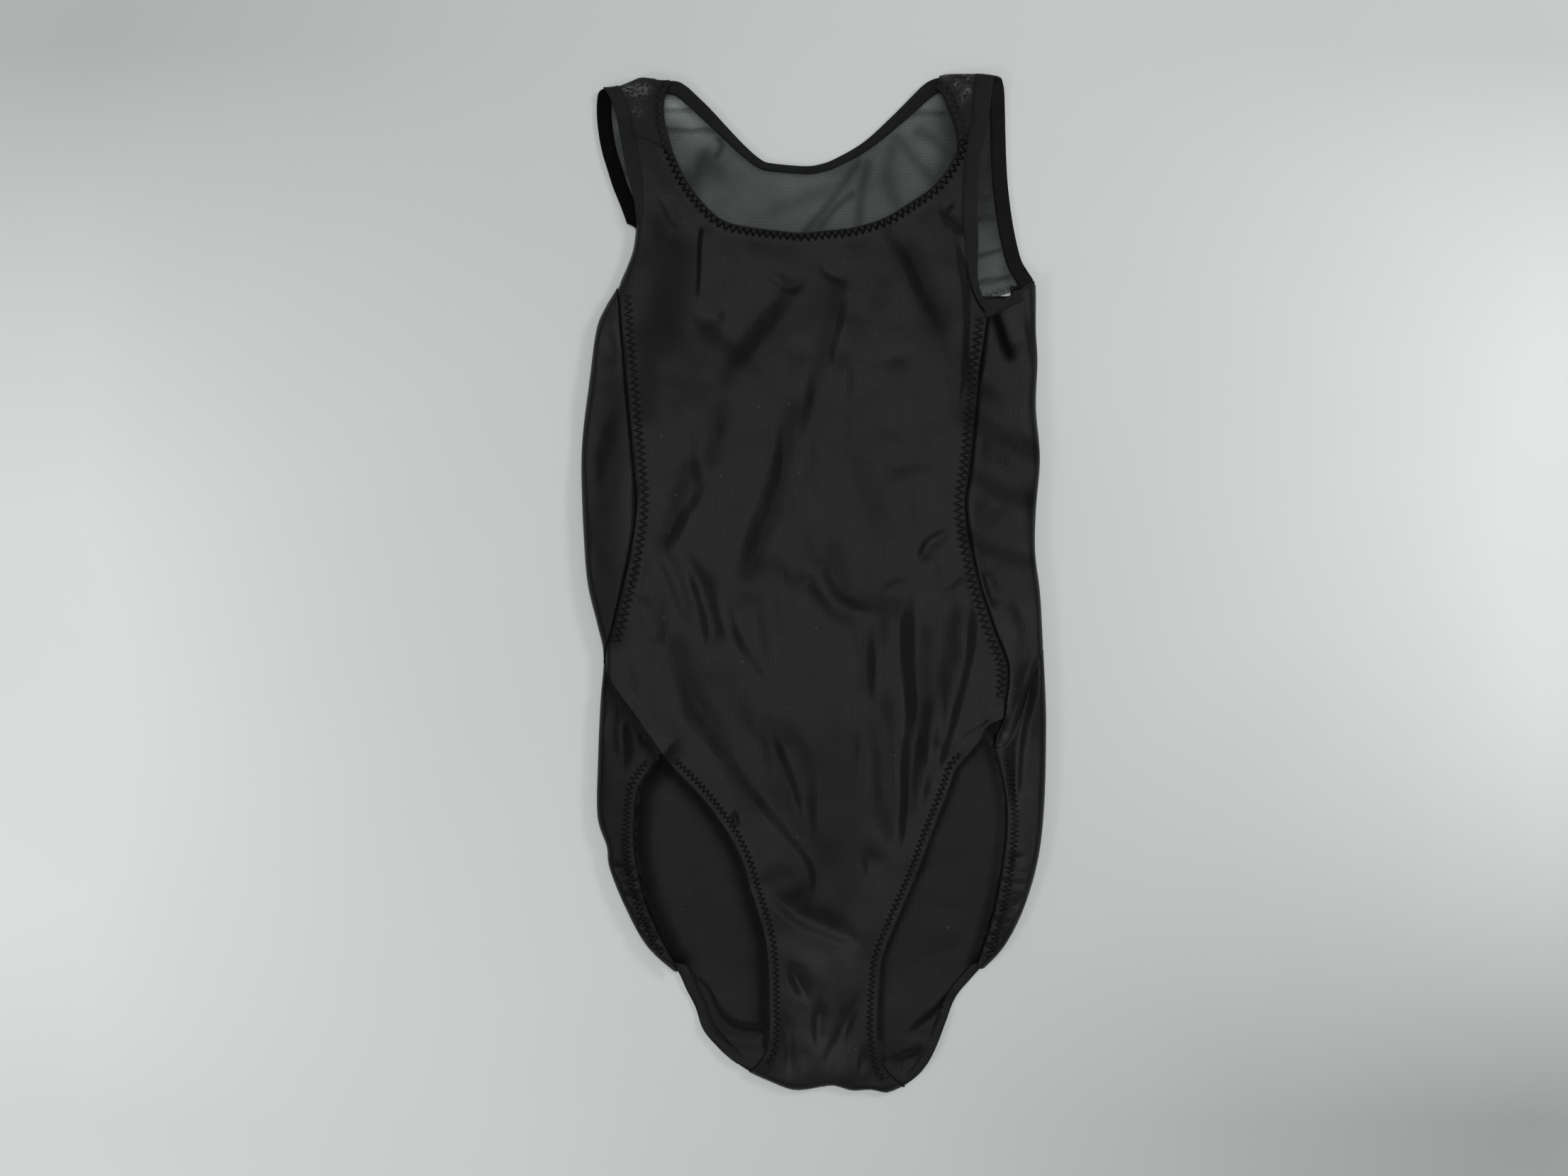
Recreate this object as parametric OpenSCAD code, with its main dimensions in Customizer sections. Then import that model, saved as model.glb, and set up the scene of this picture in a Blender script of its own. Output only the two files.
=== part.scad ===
// Sleeveless gymnastics leotard lying flat, front side up, shoulders towards +Y.
// The origin is on the plane it rests on, under the middle of the garment. Z is up.
// "Left" and "right" are the sides as the garment is looked down on.
// Every outline is drawn in millimetres for the base size and stretched to the chosen size.

/* [Size] */
// Length from the shoulder seam to the crotch fold
body_l = 640; // [580:5:700]
// Widest flat width, across the hips
body_w = 292; // [260:2:330]

/* [Cloth] */
// Thickness of the outer knit and its turned hems
cloth_t = 1; // [0.8:0.1:1.2]
// Thickness of the net at the upper back and the strap tops
net_t = 0.6; // [0.4:0.1:0.8]
// Air between the back layer and the front layer of the flat body
loft = 5.6; // [5:0.2:8]
// Depth of the bound edge at the back neck
neck_bind_w = 10; // [8:0.5:11]
// Depth of the bound edge around each armhole
arm_bind_w = 10; // [8:0.5:11]
// Width of the elastic turned into the neck and leg hems
elastic_w = 5; // [4:0.5:6]
// Thickness of that elastic
elastic_t = 0.9; // [0.6:0.1:1]

/* [Stitching] */
// Length of one full zigzag of the hem stitches
hem_pitch = 4.2; // [3.5:0.1:6]
// Length of one full zigzag of the topstitching beside the front seams
seam_pitch = 4.3; // [3.5:0.1:6]
// Thickness of the sewing thread as it lies on the cloth
thread_t = 0.5; // [0.4:0.05:0.6]

/* [Folds] */
// Distance of the waist fold line above the middle of the garment
waist_y = 20; // [10:1:30]
// Distance of the shoulder fold line above the middle of the garment
shoulder_y = 286; // [284:1:290]

/* [Hidden] */

base_l = 640;                       // length the outlines are drawn for
base_w = 292;                       // width the outlines are drawn for
kx = body_w / base_w;
ky = body_l / base_l;
steps = 4;                          // pieces each span of a curve is cut into
clear = 0.2;                        // air between two pieces that lie on each other
seam_gap = 0.4;                     // air between two panels that are sewn edge to edge
fold_gap = 0.6;                     // air between the two sides of a fold line
turn_in = 14;                       // how far the side panels reach onto the back
net_z = cloth_t + clear;
front_z = cloth_t + loft;
front_top = front_z + cloth_t;
stitch_z = front_top + clear;
inner_z = front_z - clear - elastic_t;
bind_t = 1;                         // thickness of one leaf of a bound edge
bind_back_h = net_z + net_t + clear + bind_t;
bind_front_z = front_z - clear - bind_t;
bind_front_h = cloth_t + 2 * clear + 2 * bind_t;
bind_top = bind_front_z + bind_front_h;
edge_wall = 1.2;                    // cloth left at the turned edge of a binding
narrow = 2;                         // how much less deep the right armhole is bound on the front
tuck = edge_wall + clear;           // where a bound panel's own edge lies
far = 500;                          // larger than any half size of the garment

knit = [0.16, 0.16, 0.165];
knit_dark = [0.12, 0.12, 0.125];
net_grey = [0.34, 0.36, 0.35];
bind_black = [0.11, 0.115, 0.115];
thread_black = [0.07, 0.07, 0.075];
lining_grey = [0.2, 0.2, 0.2];

// ---- Curves -------------------------------------------------------------------------------

// Point at fraction u between b and c on a smooth curve through a, b, c and d.
function bend(a, b, c, d, u) =
    0.5 * (2 * b + (c - a) * u + (2 * a - 5 * b + 4 * c - d) * u * u
    + (3 * b - a - 3 * c + d) * u * u * u);

// Smooth curve through points drawn for the base size.
function curve(pts) =
    let (
        p = [for (q = pts) [q.x * kx, q.y * ky]],
        last = len(p) - 1
    )
    concat(
        [for (i = [0:last - 1], k = [0:steps - 1])
            bend(p[max(i - 1, 0)], p[i], p[i + 1], p[min(i + 2, last)], k / steps)],
        [p[last]]);

function reversed(p) = [for (i = [len(p) - 1:-1:0]) p[i]];

// Unit vector to the left of the line at its point i.
function left_of(p, i) =
    let (
        d = p[min(i + 1, len(p) - 1)] - p[max(i - 1, 0)],
        u = d / norm(d)
    )
    [-u.y, u.x];

// The same line moved w to its left.
function moved(p, w) = [for (i = [0:len(p) - 1]) p[i] + w * left_of(p, i)];

// Closed outline between two copies of a line, moved w0 and w1 to its left.
function band(p, w0, w1) = concat(moved(p, w0), reversed(moved(p, w1)));

// Distance run along a line at each of its points.
function runs(p) = [for (i = 0, s = 0; i < len(p);
    s = s + (i < len(p) - 1 ? norm(p[i + 1] - p[i]) : 0), i = i + 1) s];

// Line that swings between w0 and w1 to the left of another, once every pitch.
function zigzag(p, w0, w1, pitch) =
    let (
        s = runs(p),
        a = moved(p, w0),
        b = moved(p, w1),
        ax = [for (i = [0:len(p) - 1]) [s[i], a[i].x]],
        ay = [for (i = [0:len(p) - 1]) [s[i], a[i].y]],
        bx = [for (i = [0:len(p) - 1]) [s[i], b[i].x]],
        by = [for (i = [0:len(p) - 1]) [s[i], b[i].y]],
        n = floor(2 * s[len(s) - 1] / pitch)
    )
    [for (k = [0:n])
        let (r = k * pitch / 2)
        k % 2 == 0 ? [lookup(r, ax), lookup(r, ay)] : [lookup(r, bx), lookup(r, by)]];

// Part of a line whose y lies between y0 and y1.
function within(p, y0, y1) = [for (q = p) if (q.y >= y0 && q.y <= y1) q];

// ---- Lines of the garment, each drawn from the shoulders down or from left to right --------

// Left fold of the body, from under the arm to the hip notch
side_l = curve([[-121, 194], [-130, 176], [-137, 159], [-141, 127], [-145, 95], [-146, 70],
    [-144.5, 30], [-142, 0], [-136, -25], [-133.5, -45], [-134, -80], [-136, -120],
    [-136, -147], [-131, -168], [-121, -201], [-107, -227], [-89, -243]]);
// Right fold of the body
side_r = curve([[139, 180], [139, 160], [140, 140], [139, 111], [141.5, 79], [139, 47],
    [138.5, 20], [141.5, -5], [144, -40], [146, -80], [145, -125], [142, -163], [134, -194],
    [120, -224], [106, -243]]);
// Bottom edge between the hip notches, along the back leg hems and the crotch fold
crotch = curve([[-87, -246], [-78, -262], [-73, -280], [-64, -294], [-50, -304], [-19, -318.5],
    [12, -319], [41, -320], [60, -314], [71, -305], [78, -293], [86, -270], [93, -257],
    [104, -246]]);
// Front neckline
scoop = curve([[-93.5, 312], [-94.8, 303], [-94, 293], [-91, 281], [-88, 271.5],
    [-76.5, 253.5], [-57.5, 229.5], [-31, 223.5], [-10, 219.7], [4, 221], [32, 226.5], [56, 238],
    [76, 251.5], [87, 266], [90.5, 279], [87, 296], [81, 307], [75.5, 312]]);
// Back neckline
neck = curve([[-99, 317], [-87, 317], [-76.5, 310.5], [-54, 289], [-31, 266.5], [-6, 263.8],
    [4, 265], [27, 275], [48.5, 294.5], [62, 308], [77, 318.5], [86, 320]]);
// Hole edge of the left armhole on the front and on the back
arm_l_front = curve([[-127, 313], [-129, 305], [-126, 295], [-123, 284], [-119.5, 257],
    [-114.5, 240], [-112, 226], [-112, 217], [-117, 202], [-124, 187]]);
arm_l_back = curve([[-134, 310], [-137, 303], [-137, 296], [-135, 281], [-132, 265], [-123, 245.5],
    [-118.5, 232], [-114.5, 214], [-117, 202], [-124, 187]]);
// Hole edge of the right armhole on the front, under the arm and on the back
arm_r_front = curve([[111, 317], [109, 300], [106, 285], [103, 260], [102.5, 238], [103, 200],
    [105, 181], [109, 166]]);
arm_r_under = curve([[102, 166], [108, 169], [121, 177], [138, 188]]);
arm_r_back = curve([[118, 318], [120, 305], [120.5, 275], [121.5, 250], [123.5, 226], [127, 214],
    [131.5, 201], [139, 187]]);
// Seams between the front centre panel and the side panels
princess_l = curve([[-124, 185], [-119, 133], [-115, 90], [-112, 52], [-115, 24], [-124, -16],
    [-131.5, -42]]);
princess_r = curve([[109, 168], [104, 130], [98, 73], [95, 48], [100, 15], [112, -23],
    [121, -50], [117, -77]]);
// Leg edges of the front centre panel
leg_front_l = curve([[-131, -52], [-101, -98], [-68, -136], [-46, -173], [-33, -212],
    [-27, -250], [-28, -285], [-36, -304]]);
leg_front_r = curve([[108, -90], [88, -116], [66, -174], [47, -223], [40, -262], [42, -296],
    [48, -309]]);
// Leg edges of the back panel where it wraps over the hip onto the front
leg_back_l = curve([[-124, -74], [-105, -100], [-111, -130], [-113, -155], [-107, -200], [-97, -222],
    [-88, -240]]);
leg_back_r = curve([[120, -124], [120, -145], [118, -170], [111, -208], [104, -232],
    [101, -242]]);
// Short piece of the right leg edge that belongs to the side panel
leg_apex_r = curve([[117, -114], [112, -97]]);
// Seam between the right side panel and the back panel, on the front of the hip
seam_back_r = curve([[143, -44], [138, -66], [131, -97], [120, -120]]);
// Seam between the back net and the back panel, hidden behind the front
yoke = curve([[-108, 190], [-95, 178], [-40, 171], [30, 170], [95, 174], [125, 183]]);

// ---- Helpers --------------------------------------------------------------------------------

module sheet(outline, z, t) {
    translate([0, 0, z])
        linear_extrude(height = t)
            polygon(outline);
}

// Keeps what lies on one side of a fold line.
module below(y) {
    intersection() {
        children();
        translate([-far, -far, -far / 2])
            cube([2 * far, far + y - fold_gap / 2, far]);
    }
}

module above(y) {
    intersection() {
        children();
        translate([-far, y + fold_gap / 2, -far / 2])
            cube([2 * far, far, far]);
    }
}

// Thread laid as a zigzag along a line.
module stitch(p, w0, w1, pitch, z) {
    sheet(band(zigzag(p, w0, w1, pitch), -thread_t / 2, thread_t / 2), z, thread_t);
}

// Doubled cloth folded over one or more edges, w deep, with a slot for the bound cloth's edge.
module bound_edges(lines, w, z, h) {
    s = sign(w);
    difference() {
        union() {
            for (p = lines) sheet(band(p, 0, w), z, h);
        }
        for (p = lines) sheet(band(p, s * edge_wall, w + s), z + bind_t, h - 2 * bind_t);
    }
}

module bound_back(p, w) {
    bound_edges([p], w, 0, bind_back_h);
}

module bound_front(lines, w) {
    bound_edges(lines, w, bind_front_z, bind_front_h);
}

// ---- Outer panels ---------------------------------------------------------------------------

hip_l_y = -50 * ky;                 // where the side panels end and the back wraps the hip
hip_r_y = -42 * ky;

front_outline = concat(
    within(scoop, 0, 312 * ky),
    moved(within(arm_r_front, 170 * ky, 312 * ky), -tuck),
    moved(within(princess_r, -far, 158 * ky), -seam_gap / 2),
    leg_front_r,
    [[40 * kx, -317 * ky], [-18 * kx, -316 * ky]],
    reversed(leg_front_l),
    reversed(moved(within(princess_l, -far, 181 * ky), seam_gap / 2)),
    reversed(moved(within(arm_l_front, 196 * ky, 312 * ky), tuck)));

module front_centre_panel() {
    color(knit) sheet(front_outline, front_z, cloth_t);
}

module front_centre_panel_lower() {
    below(waist_y) front_centre_panel();
}

module front_centre_panel_upper() {
    below(shoulder_y) above(waist_y) front_centre_panel();
}

// Cloth that covers the front beside a seam, turns at the side fold and lies on the back.
module wrapped(fold, front, turn) {
    s = sign(turn);
    sheet(front, front_z, cloth_t);
    sheet(band(fold, 0, s * cloth_t), 0, front_top);
    sheet(band(fold, 0, turn), 0, cloth_t);
}

module side_panel_left() {
    fold = within(side_l, hip_l_y, 180 * ky);
    seam = within(princess_l, -far, 179 * ky);
    color(knit) wrapped(fold, concat(fold, reversed(moved(seam, -seam_gap / 2))), turn_in);
}

module side_panel_right() {
    edge = within(side_r, hip_r_y, far);
    fold = within(side_r, hip_r_y, 174 * ky);
    seam = within(princess_r, -far, 160 * ky);
    under = [for (q = moved(arm_r_under, -tuck)) if (q.x > 113 * kx && q.x < 133 * kx) q];
    color(knit) wrapped(fold,
        concat(edge, moved(seam_back_r, -seam_gap / 2), leg_apex_r,
            reversed(moved(seam, seam_gap / 2)), under), -turn_in);
}

module side_panel_left_lower() {
    below(waist_y) side_panel_left();
}

module side_panel_left_upper() {
    above(waist_y) side_panel_left();
}

module side_panel_right_lower() {
    below(waist_y) side_panel_right();
}

module side_panel_right_upper() {
    above(waist_y) side_panel_right();
}

// Below the hips the back is full width and wraps onto the front beside the leg openings.
module back_panel() {
    left = moved(within(side_l, hip_l_y, 178 * ky), turn_in + seam_gap);
    right = moved(within(side_r, hip_r_y, 168 * ky), -turn_in - seam_gap);
    hip_l = within(side_l, -far, hip_l_y - seam_gap);
    hip_r = within(side_r, -far, hip_r_y - seam_gap);
    color(knit_dark) {
        sheet(concat(left, hip_l, crotch, reversed(hip_r), reversed(right)), 0, cloth_t);
        wrapped(hip_l, concat(hip_l, reversed(leg_back_l)), cloth_t);
        wrapped(hip_r, concat(hip_r, reversed(leg_back_r), reversed(moved(seam_back_r, seam_gap / 2))),
            -cloth_t);
    }
}

module back_panel_lower() {
    below(waist_y) back_panel();
}

module back_panel_upper() {
    above(waist_y) back_panel();
}

// ---- Crotch and leg hems --------------------------------------------------------------------

lining_top = -190;                  // upper edge of the gusset lining

module crotch_gusset_lining() {
    color(lining_grey)
        sheet(concat(
            moved(within(leg_front_r, -300 * ky, lining_top * ky), -elastic_w - 2),
            reversed(moved(within(leg_front_l, -296 * ky, lining_top * ky), elastic_w + 2))),
            front_z - clear - cloth_t, cloth_t);
}

module crotch_seam_stitch() {
    seam = curve([[-24, -309], [12, -311.5], [38, -310]]);
    color(thread_black) stitch(seam, -1.5, 1.5, hem_pitch, stitch_z);
}

hem_in = 0.6;                       // from a hem's edge to its elastic
hem_stitch = [4, 7];                // where the hem zigzag runs, from the edge

// Elastic of one leg: along the front edge, the wrapped hip edge and the lower back edge.
module leg_elastic(front, hip, low, s) {
    color(bind_black) {
        sheet(band(front, s * hem_in, s * (hem_in + elastic_w)), inner_z, elastic_t);
        sheet(band(hip, -s * hem_in, -s * (hem_in + elastic_w)), inner_z, elastic_t);
        sheet(band(low, hem_in + clear, hem_in + clear + elastic_w), net_z, elastic_t);
    }
}

module leg_hem_stitch(front, hip, low, s) {
    color(thread_black) {
        stitch(front, s * hem_stitch[0], s * hem_stitch[1], hem_pitch, stitch_z);
        stitch(hip, -s * hem_stitch[0], -s * hem_stitch[1], hem_pitch, stitch_z);
        stitch(low, hem_stitch[0] + elastic_w, hem_stitch[1] + elastic_w, hem_pitch, net_z);
    }
}

low_l = [for (q = crotch) if (q.x < -48 * kx && q.y < -250 * ky) q];
low_r = [for (q = crotch) if (q.x > 58 * kx && q.y < -250 * ky) q];
cut_front_l = within(leg_front_l, -298 * ky, -102 * ky);
cut_front_r = within(leg_front_r, -298 * ky, -100 * ky);
cut_hip_l = within(leg_back_l, -212 * ky, -118 * ky);
cut_hip_r = within(leg_back_r, -212 * ky, -118 * ky);

module leg_elastic_left() {
    leg_elastic(cut_front_l, cut_hip_l, low_l, 1);
}

module leg_elastic_right() {
    leg_elastic(cut_front_r, cut_hip_r, low_r, -1);
}

module leg_hem_stitch_left() {
    leg_hem_stitch(cut_front_l, cut_hip_l, low_l, 1);
}

module leg_hem_stitch_right() {
    leg_hem_stitch(cut_front_r, cut_hip_r, low_r, -1);
}

// ---- Topstitching beside the front seams ----------------------------------------------------

top_in = [3, 8];                    // where it runs, from the seam towards the centre

module princess_topstitch() {
    color(thread_black) {
        stitch(within(princess_l, -30 * ky, 176 * ky), top_in[0], top_in[1], seam_pitch, stitch_z);
        stitch(within(princess_r, -66 * ky, 150 * ky), -top_in[0], -top_in[1], seam_pitch,
            stitch_z);
    }
}

module princess_topstitch_lower() {
    below(waist_y) princess_topstitch();
}

module princess_topstitch_upper() {
    above(waist_y) princess_topstitch();
}

// ---- Net back and its bound edges -----------------------------------------------------------

module back_net() {
    color(net_grey)
        sheet(concat(
            moved(within(neck, 0, 314 * ky), -tuck),
            [[80 * kx, 314.5 * ky], [116 * kx, 314.5 * ky]],
            moved(within(arm_r_back, 196 * ky, 312 * ky), -tuck),
            reversed(yoke),
            reversed(moved(within(arm_l_back, 215 * ky, 303 * ky), tuck)),
            [[-118 * kx, 313 * ky], [-96 * kx, 314 * ky]]),
            net_z, net_t);
}

module back_net_yoke() {
    below(shoulder_y) back_net();
}

module back_net_shoulders() {
    above(shoulder_y) back_net();
}

module yoke_seam_stitch() {
    color(thread_black) stitch(yoke, 1.5, 4.5, hem_pitch, net_z + net_t + clear);
}

module neck_binding_whole() {
    color(bind_black) bound_back(neck, -neck_bind_w);
}

module neck_binding() {
    below(shoulder_y) neck_binding_whole();
}

module neck_binding_ends() {
    above(shoulder_y) neck_binding_whole();
}

module armhole_binding_left_whole() {
    turn = within(arm_l_front, 190 * ky, 206 * ky);
    shoulder = [[-135 * kx, 309 * ky], [-126 * kx, 312.6 * ky]];
    color(bind_black) {
        bound_front([arm_l_front], arm_bind_w);
        bound_back(within(arm_l_back, 200 * ky, far), arm_bind_w);
        sheet(band(turn, 0, edge_wall), 0, bind_top);
        sheet(band(shoulder, 0, -edge_wall), 0, bind_top);
    }
}

module armhole_binding_left() {
    below(shoulder_y) armhole_binding_left_whole();
}

module armhole_binding_left_top() {
    above(shoulder_y) armhole_binding_left_whole();
}

module armhole_binding_right_whole() {
    shoulder = [[110 * kx, 316.6 * ky], [118.5 * kx, 316.6 * ky]];
    turn = [[138 * kx, 188 * ky], [139.6 * kx, 184 * ky]];
    color(bind_black) {
        bound_front([arm_r_front, arm_r_under], narrow - arm_bind_w);
        bound_back(arm_r_back, -arm_bind_w);
        sheet(band(turn, 0, -edge_wall), 0, bind_top);
        sheet(band(shoulder, 0, -edge_wall), 0, bind_top);
    }
}

module armhole_binding_right() {
    below(shoulder_y) armhole_binding_right_whole();
}

module armhole_binding_right_top() {
    above(shoulder_y) armhole_binding_right_whole();
}

// Where the zigzag that holds a bound edge runs, from the edge
bind_stitch = [6.5, 9];

module binding_stitch_whole() {
    a = bind_stitch[0];
    b = bind_stitch[1];
    color(thread_black) {
        stitch(neck, -a, -b, hem_pitch, bind_back_h + clear);
        stitch(within(arm_l_front, 200 * ky, 312 * ky), a, b, hem_pitch, bind_top + clear);
        stitch(within(arm_r_front, 182 * ky, 312 * ky), narrow - a, narrow - b, hem_pitch,
            bind_top + clear);
    }
}

module binding_stitch() {
    below(shoulder_y) binding_stitch_whole();
}

module binding_stitch_ends() {
    above(shoulder_y) binding_stitch_whole();
}

// ---- Front neck hem and strap tops ----------------------------------------------------------

module front_neck_elastic_whole() {
    color(bind_black) sheet(band(scoop, -hem_in, -hem_in - elastic_w), inner_z, elastic_t);
}

module front_neck_elastic() {
    below(shoulder_y) front_neck_elastic_whole();
}

module front_neck_elastic_ends() {
    above(shoulder_y) front_neck_elastic_whole();
}

module front_neck_stitch_whole() {
    color(thread_black) stitch(scoop, -1.2, -5, hem_pitch, stitch_z);
}

module front_neck_stitch() {
    below(shoulder_y) front_neck_stitch_whole();
}

module front_neck_stitch_ends() {
    above(shoulder_y) front_neck_stitch_whole();
}

// Net layers that carry the front on from the shoulder fold to the shoulder seam.
module strap_net(neck_edge, arm_edge) {
    color(net_grey)
        above(shoulder_y)
            sheet(concat(neck_edge, reversed(arm_edge)), front_z, cloth_t);
}

module strap_net_left() {
    strap_net([for (q = scoop) if (q.x < 0 && q.y > 270 * ky) q],
        moved(within(arm_l_front, 260 * ky, 309 * ky), tuck));
}

module strap_net_right() {
    strap_net([for (q = reversed(scoop)) if (q.x > 0 && q.y > 270 * ky) q],
        moved(within(arm_r_front, 250 * ky, 314 * ky), -tuck));
}

// Tape sewn into each shoulder seam, joining the strap top to the net behind it.
module shoulder_seam_tape() {
    tape_h = front_top - net_z;
    color(knit_dark) {
        sheet(band([[-117 * kx, 317.6 * ky], [-101 * kx, 317.6 * ky]], 0, -1.4), net_z, tape_h);
        sheet(band([[89 * kx, 317.6 * ky], [99.5 * kx, 317.6 * ky]], 0, -1.4), net_z, tape_h);
    }
}

front_centre_panel_lower();
front_centre_panel_upper();
side_panel_left_lower();
side_panel_left_upper();
side_panel_right_lower();
side_panel_right_upper();
back_panel_lower();
back_panel_upper();
crotch_gusset_lining();
crotch_seam_stitch();
leg_elastic_left();
leg_elastic_right();
leg_hem_stitch_left();
leg_hem_stitch_right();
princess_topstitch_lower();
princess_topstitch_upper();
back_net_yoke();
back_net_shoulders();
yoke_seam_stitch();
neck_binding();
neck_binding_ends();
armhole_binding_left();
armhole_binding_left_top();
armhole_binding_right();
armhole_binding_right_top();
front_neck_elastic();
front_neck_elastic_ends();
front_neck_stitch();
front_neck_stitch_ends();
strap_net_left();
strap_net_right();
binding_stitch();
binding_stitch_ends();
shoulder_seam_tape();
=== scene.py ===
"""A sleeveless gymnastics leotard lying flat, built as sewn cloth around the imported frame.

Lengths of the garment are millimetres in the frame's own axes and become metres when a mesh is
made. Outlines are smooth curves through a few points, drawn for the base size and stretched to the
frame's box. Materials, the bends, lamps, table and camera are in metres.
"""
import math

import bmesh
import bpy
import numpy as np
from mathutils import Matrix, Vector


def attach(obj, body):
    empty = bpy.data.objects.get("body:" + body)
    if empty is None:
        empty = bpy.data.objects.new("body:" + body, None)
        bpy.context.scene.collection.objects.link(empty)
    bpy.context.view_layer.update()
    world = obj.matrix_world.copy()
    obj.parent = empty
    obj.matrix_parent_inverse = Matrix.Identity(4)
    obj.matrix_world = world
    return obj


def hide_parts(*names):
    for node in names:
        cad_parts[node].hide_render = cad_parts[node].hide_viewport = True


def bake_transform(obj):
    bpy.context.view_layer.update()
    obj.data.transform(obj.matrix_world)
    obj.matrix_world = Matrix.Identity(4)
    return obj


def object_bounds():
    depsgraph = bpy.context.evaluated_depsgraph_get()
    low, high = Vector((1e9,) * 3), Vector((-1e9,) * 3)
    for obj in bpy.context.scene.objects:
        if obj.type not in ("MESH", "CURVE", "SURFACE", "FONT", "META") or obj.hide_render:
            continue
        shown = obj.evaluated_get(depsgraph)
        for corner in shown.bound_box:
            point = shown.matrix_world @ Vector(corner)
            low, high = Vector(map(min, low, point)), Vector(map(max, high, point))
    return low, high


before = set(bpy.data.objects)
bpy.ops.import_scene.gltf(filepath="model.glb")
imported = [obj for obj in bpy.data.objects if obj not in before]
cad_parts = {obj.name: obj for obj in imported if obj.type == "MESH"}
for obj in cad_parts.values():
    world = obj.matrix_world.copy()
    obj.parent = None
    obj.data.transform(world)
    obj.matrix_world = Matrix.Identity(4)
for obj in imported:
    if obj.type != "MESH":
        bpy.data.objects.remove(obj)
cad_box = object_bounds()

MM = 0.001
BASE_W, BASE_L = 292.0, 640.23           # size of the CAD box the outlines are drawn for
KX = (cad_box[1].x - cad_box[0].x) / MM / BASE_W
KY = (cad_box[1].y - cad_box[0].y) / MM / BASE_L
SCALE = np.array([KX, KY])

CLOTH = 0.6                              # thickness of the knit
TAPE = 0.55                              # thickness of one leaf of a bound edge
NET = 0.3                                # thickness of the net
EDGE_Z = 3.6                             # height of the side folds' outermost line
ROUND = 4.2                              # how far in from a side fold the cloth levels out
BACK_Z = 0.9                             # height of the back layer's upper face
LEVEL_Z = 5.6                            # height of the front layer's upper face near the side folds
FRONT_LOW_Z, BACK_LOW_Z = 4.6, 0.8       # the lowest that folds may bring the two upper faces
HEM_W, HEM_T = 6.2, 1.9                  # turned hem over its elastic
HEM_PITCH = 4.2                          # one full zigzag of the hem stitch
SEAM_PITCH = 4.3                         # one full zigzag of the topstitching
BIND_PITCH = 3.6                         # one full zigzag of the stitching on the bound edges
ROW = 2.0                                # spacing of a cloth mesh's rows
FRONT_COLS, NET_COLS, STRAP_COLS = 152, 130, 22     # points across the front, the net and a strap
NET_ROWS = 72
MERGE = 0.02                             # points this close become one where a piece's cloths meet
rng = np.random.default_rng(11)


# ---- Plane curves --------------------------------------------------------------------------------

def evenly(line, step=None, n=None):
    """The same line with points at equal distances along it."""
    s = np.concatenate([[0], np.cumsum(np.hypot(*np.diff(line, axis=0).T))])
    n = n or max(2, int(round(s[-1] / step)) + 1)
    r = np.linspace(0, s[-1], n)
    return np.column_stack([np.interp(r, s, line[:, k]) for k in range(2)])


def curve(points, step=2.0):
    """Smooth curve through points drawn for the base size."""
    p = np.array(points, float) * SCALE
    u = np.linspace(0, 1, 10, endpoint=False)[:, None]
    parts = []
    for i in range(len(p) - 1):
        a, b, c, d = p[max(i - 1, 0)], p[i], p[i + 1], p[min(i + 2, len(p) - 1)]
        parts.append(0.5 * (2 * b + (c - a) * u + (2 * a - 5 * b + 4 * c - d) * u ** 2
                            + (3 * b - a - 3 * c + d) * u ** 3))
    return evenly(np.vstack(parts + [p[-1:]]), step)


def left_of(line):
    """Unit vectors to the left of a line at its points."""
    d = np.gradient(line, axis=0)
    d /= np.hypot(d[:, 0], d[:, 1])[:, None]
    return np.column_stack([-d[:, 1], d[:, 0]])


def moved(line, w):
    return line + left_of(line) * w


def within(line, lo, hi):
    return line[(line[:, 1] >= lo * KY) & (line[:, 1] <= hi * KY)]


def x_at(line, y):
    """Where a line that runs up or down the garment crosses each height y."""
    order = np.argsort(line[:, 1])
    return np.interp(y, line[order, 1], line[order, 0])


def smooth(t):
    t = np.clip(t, 0, 1)
    return t * t * (3 - 2 * t)


def nearest(line, pts):
    """Distance of each point from a line, positive on its left, and how far along the line it is."""
    best = np.full(len(pts), 1e9)
    signed, run = np.zeros(len(pts)), np.zeros(len(pts))
    s = 0.0
    for a, b in zip(line[:-1], line[1:]):
        ab = b - a
        length = math.hypot(*ab)
        t = np.clip((pts - a) @ ab / length ** 2, 0, 1)
        off = pts - a - t[:, None] * ab
        d = np.hypot(off[:, 0], off[:, 1])
        near = d < best
        side = np.where(ab[0] * off[:, 1] - ab[1] * off[:, 0] < 0, -1.0, 1.0)
        best[near] = d[near]
        signed[near] = (side * d)[near]
        run[near] = (s + t * length)[near]
        s += length
    return signed, run, s


# ---- Lines of the garment, from the shoulders down or from left to right -------------------------

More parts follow.
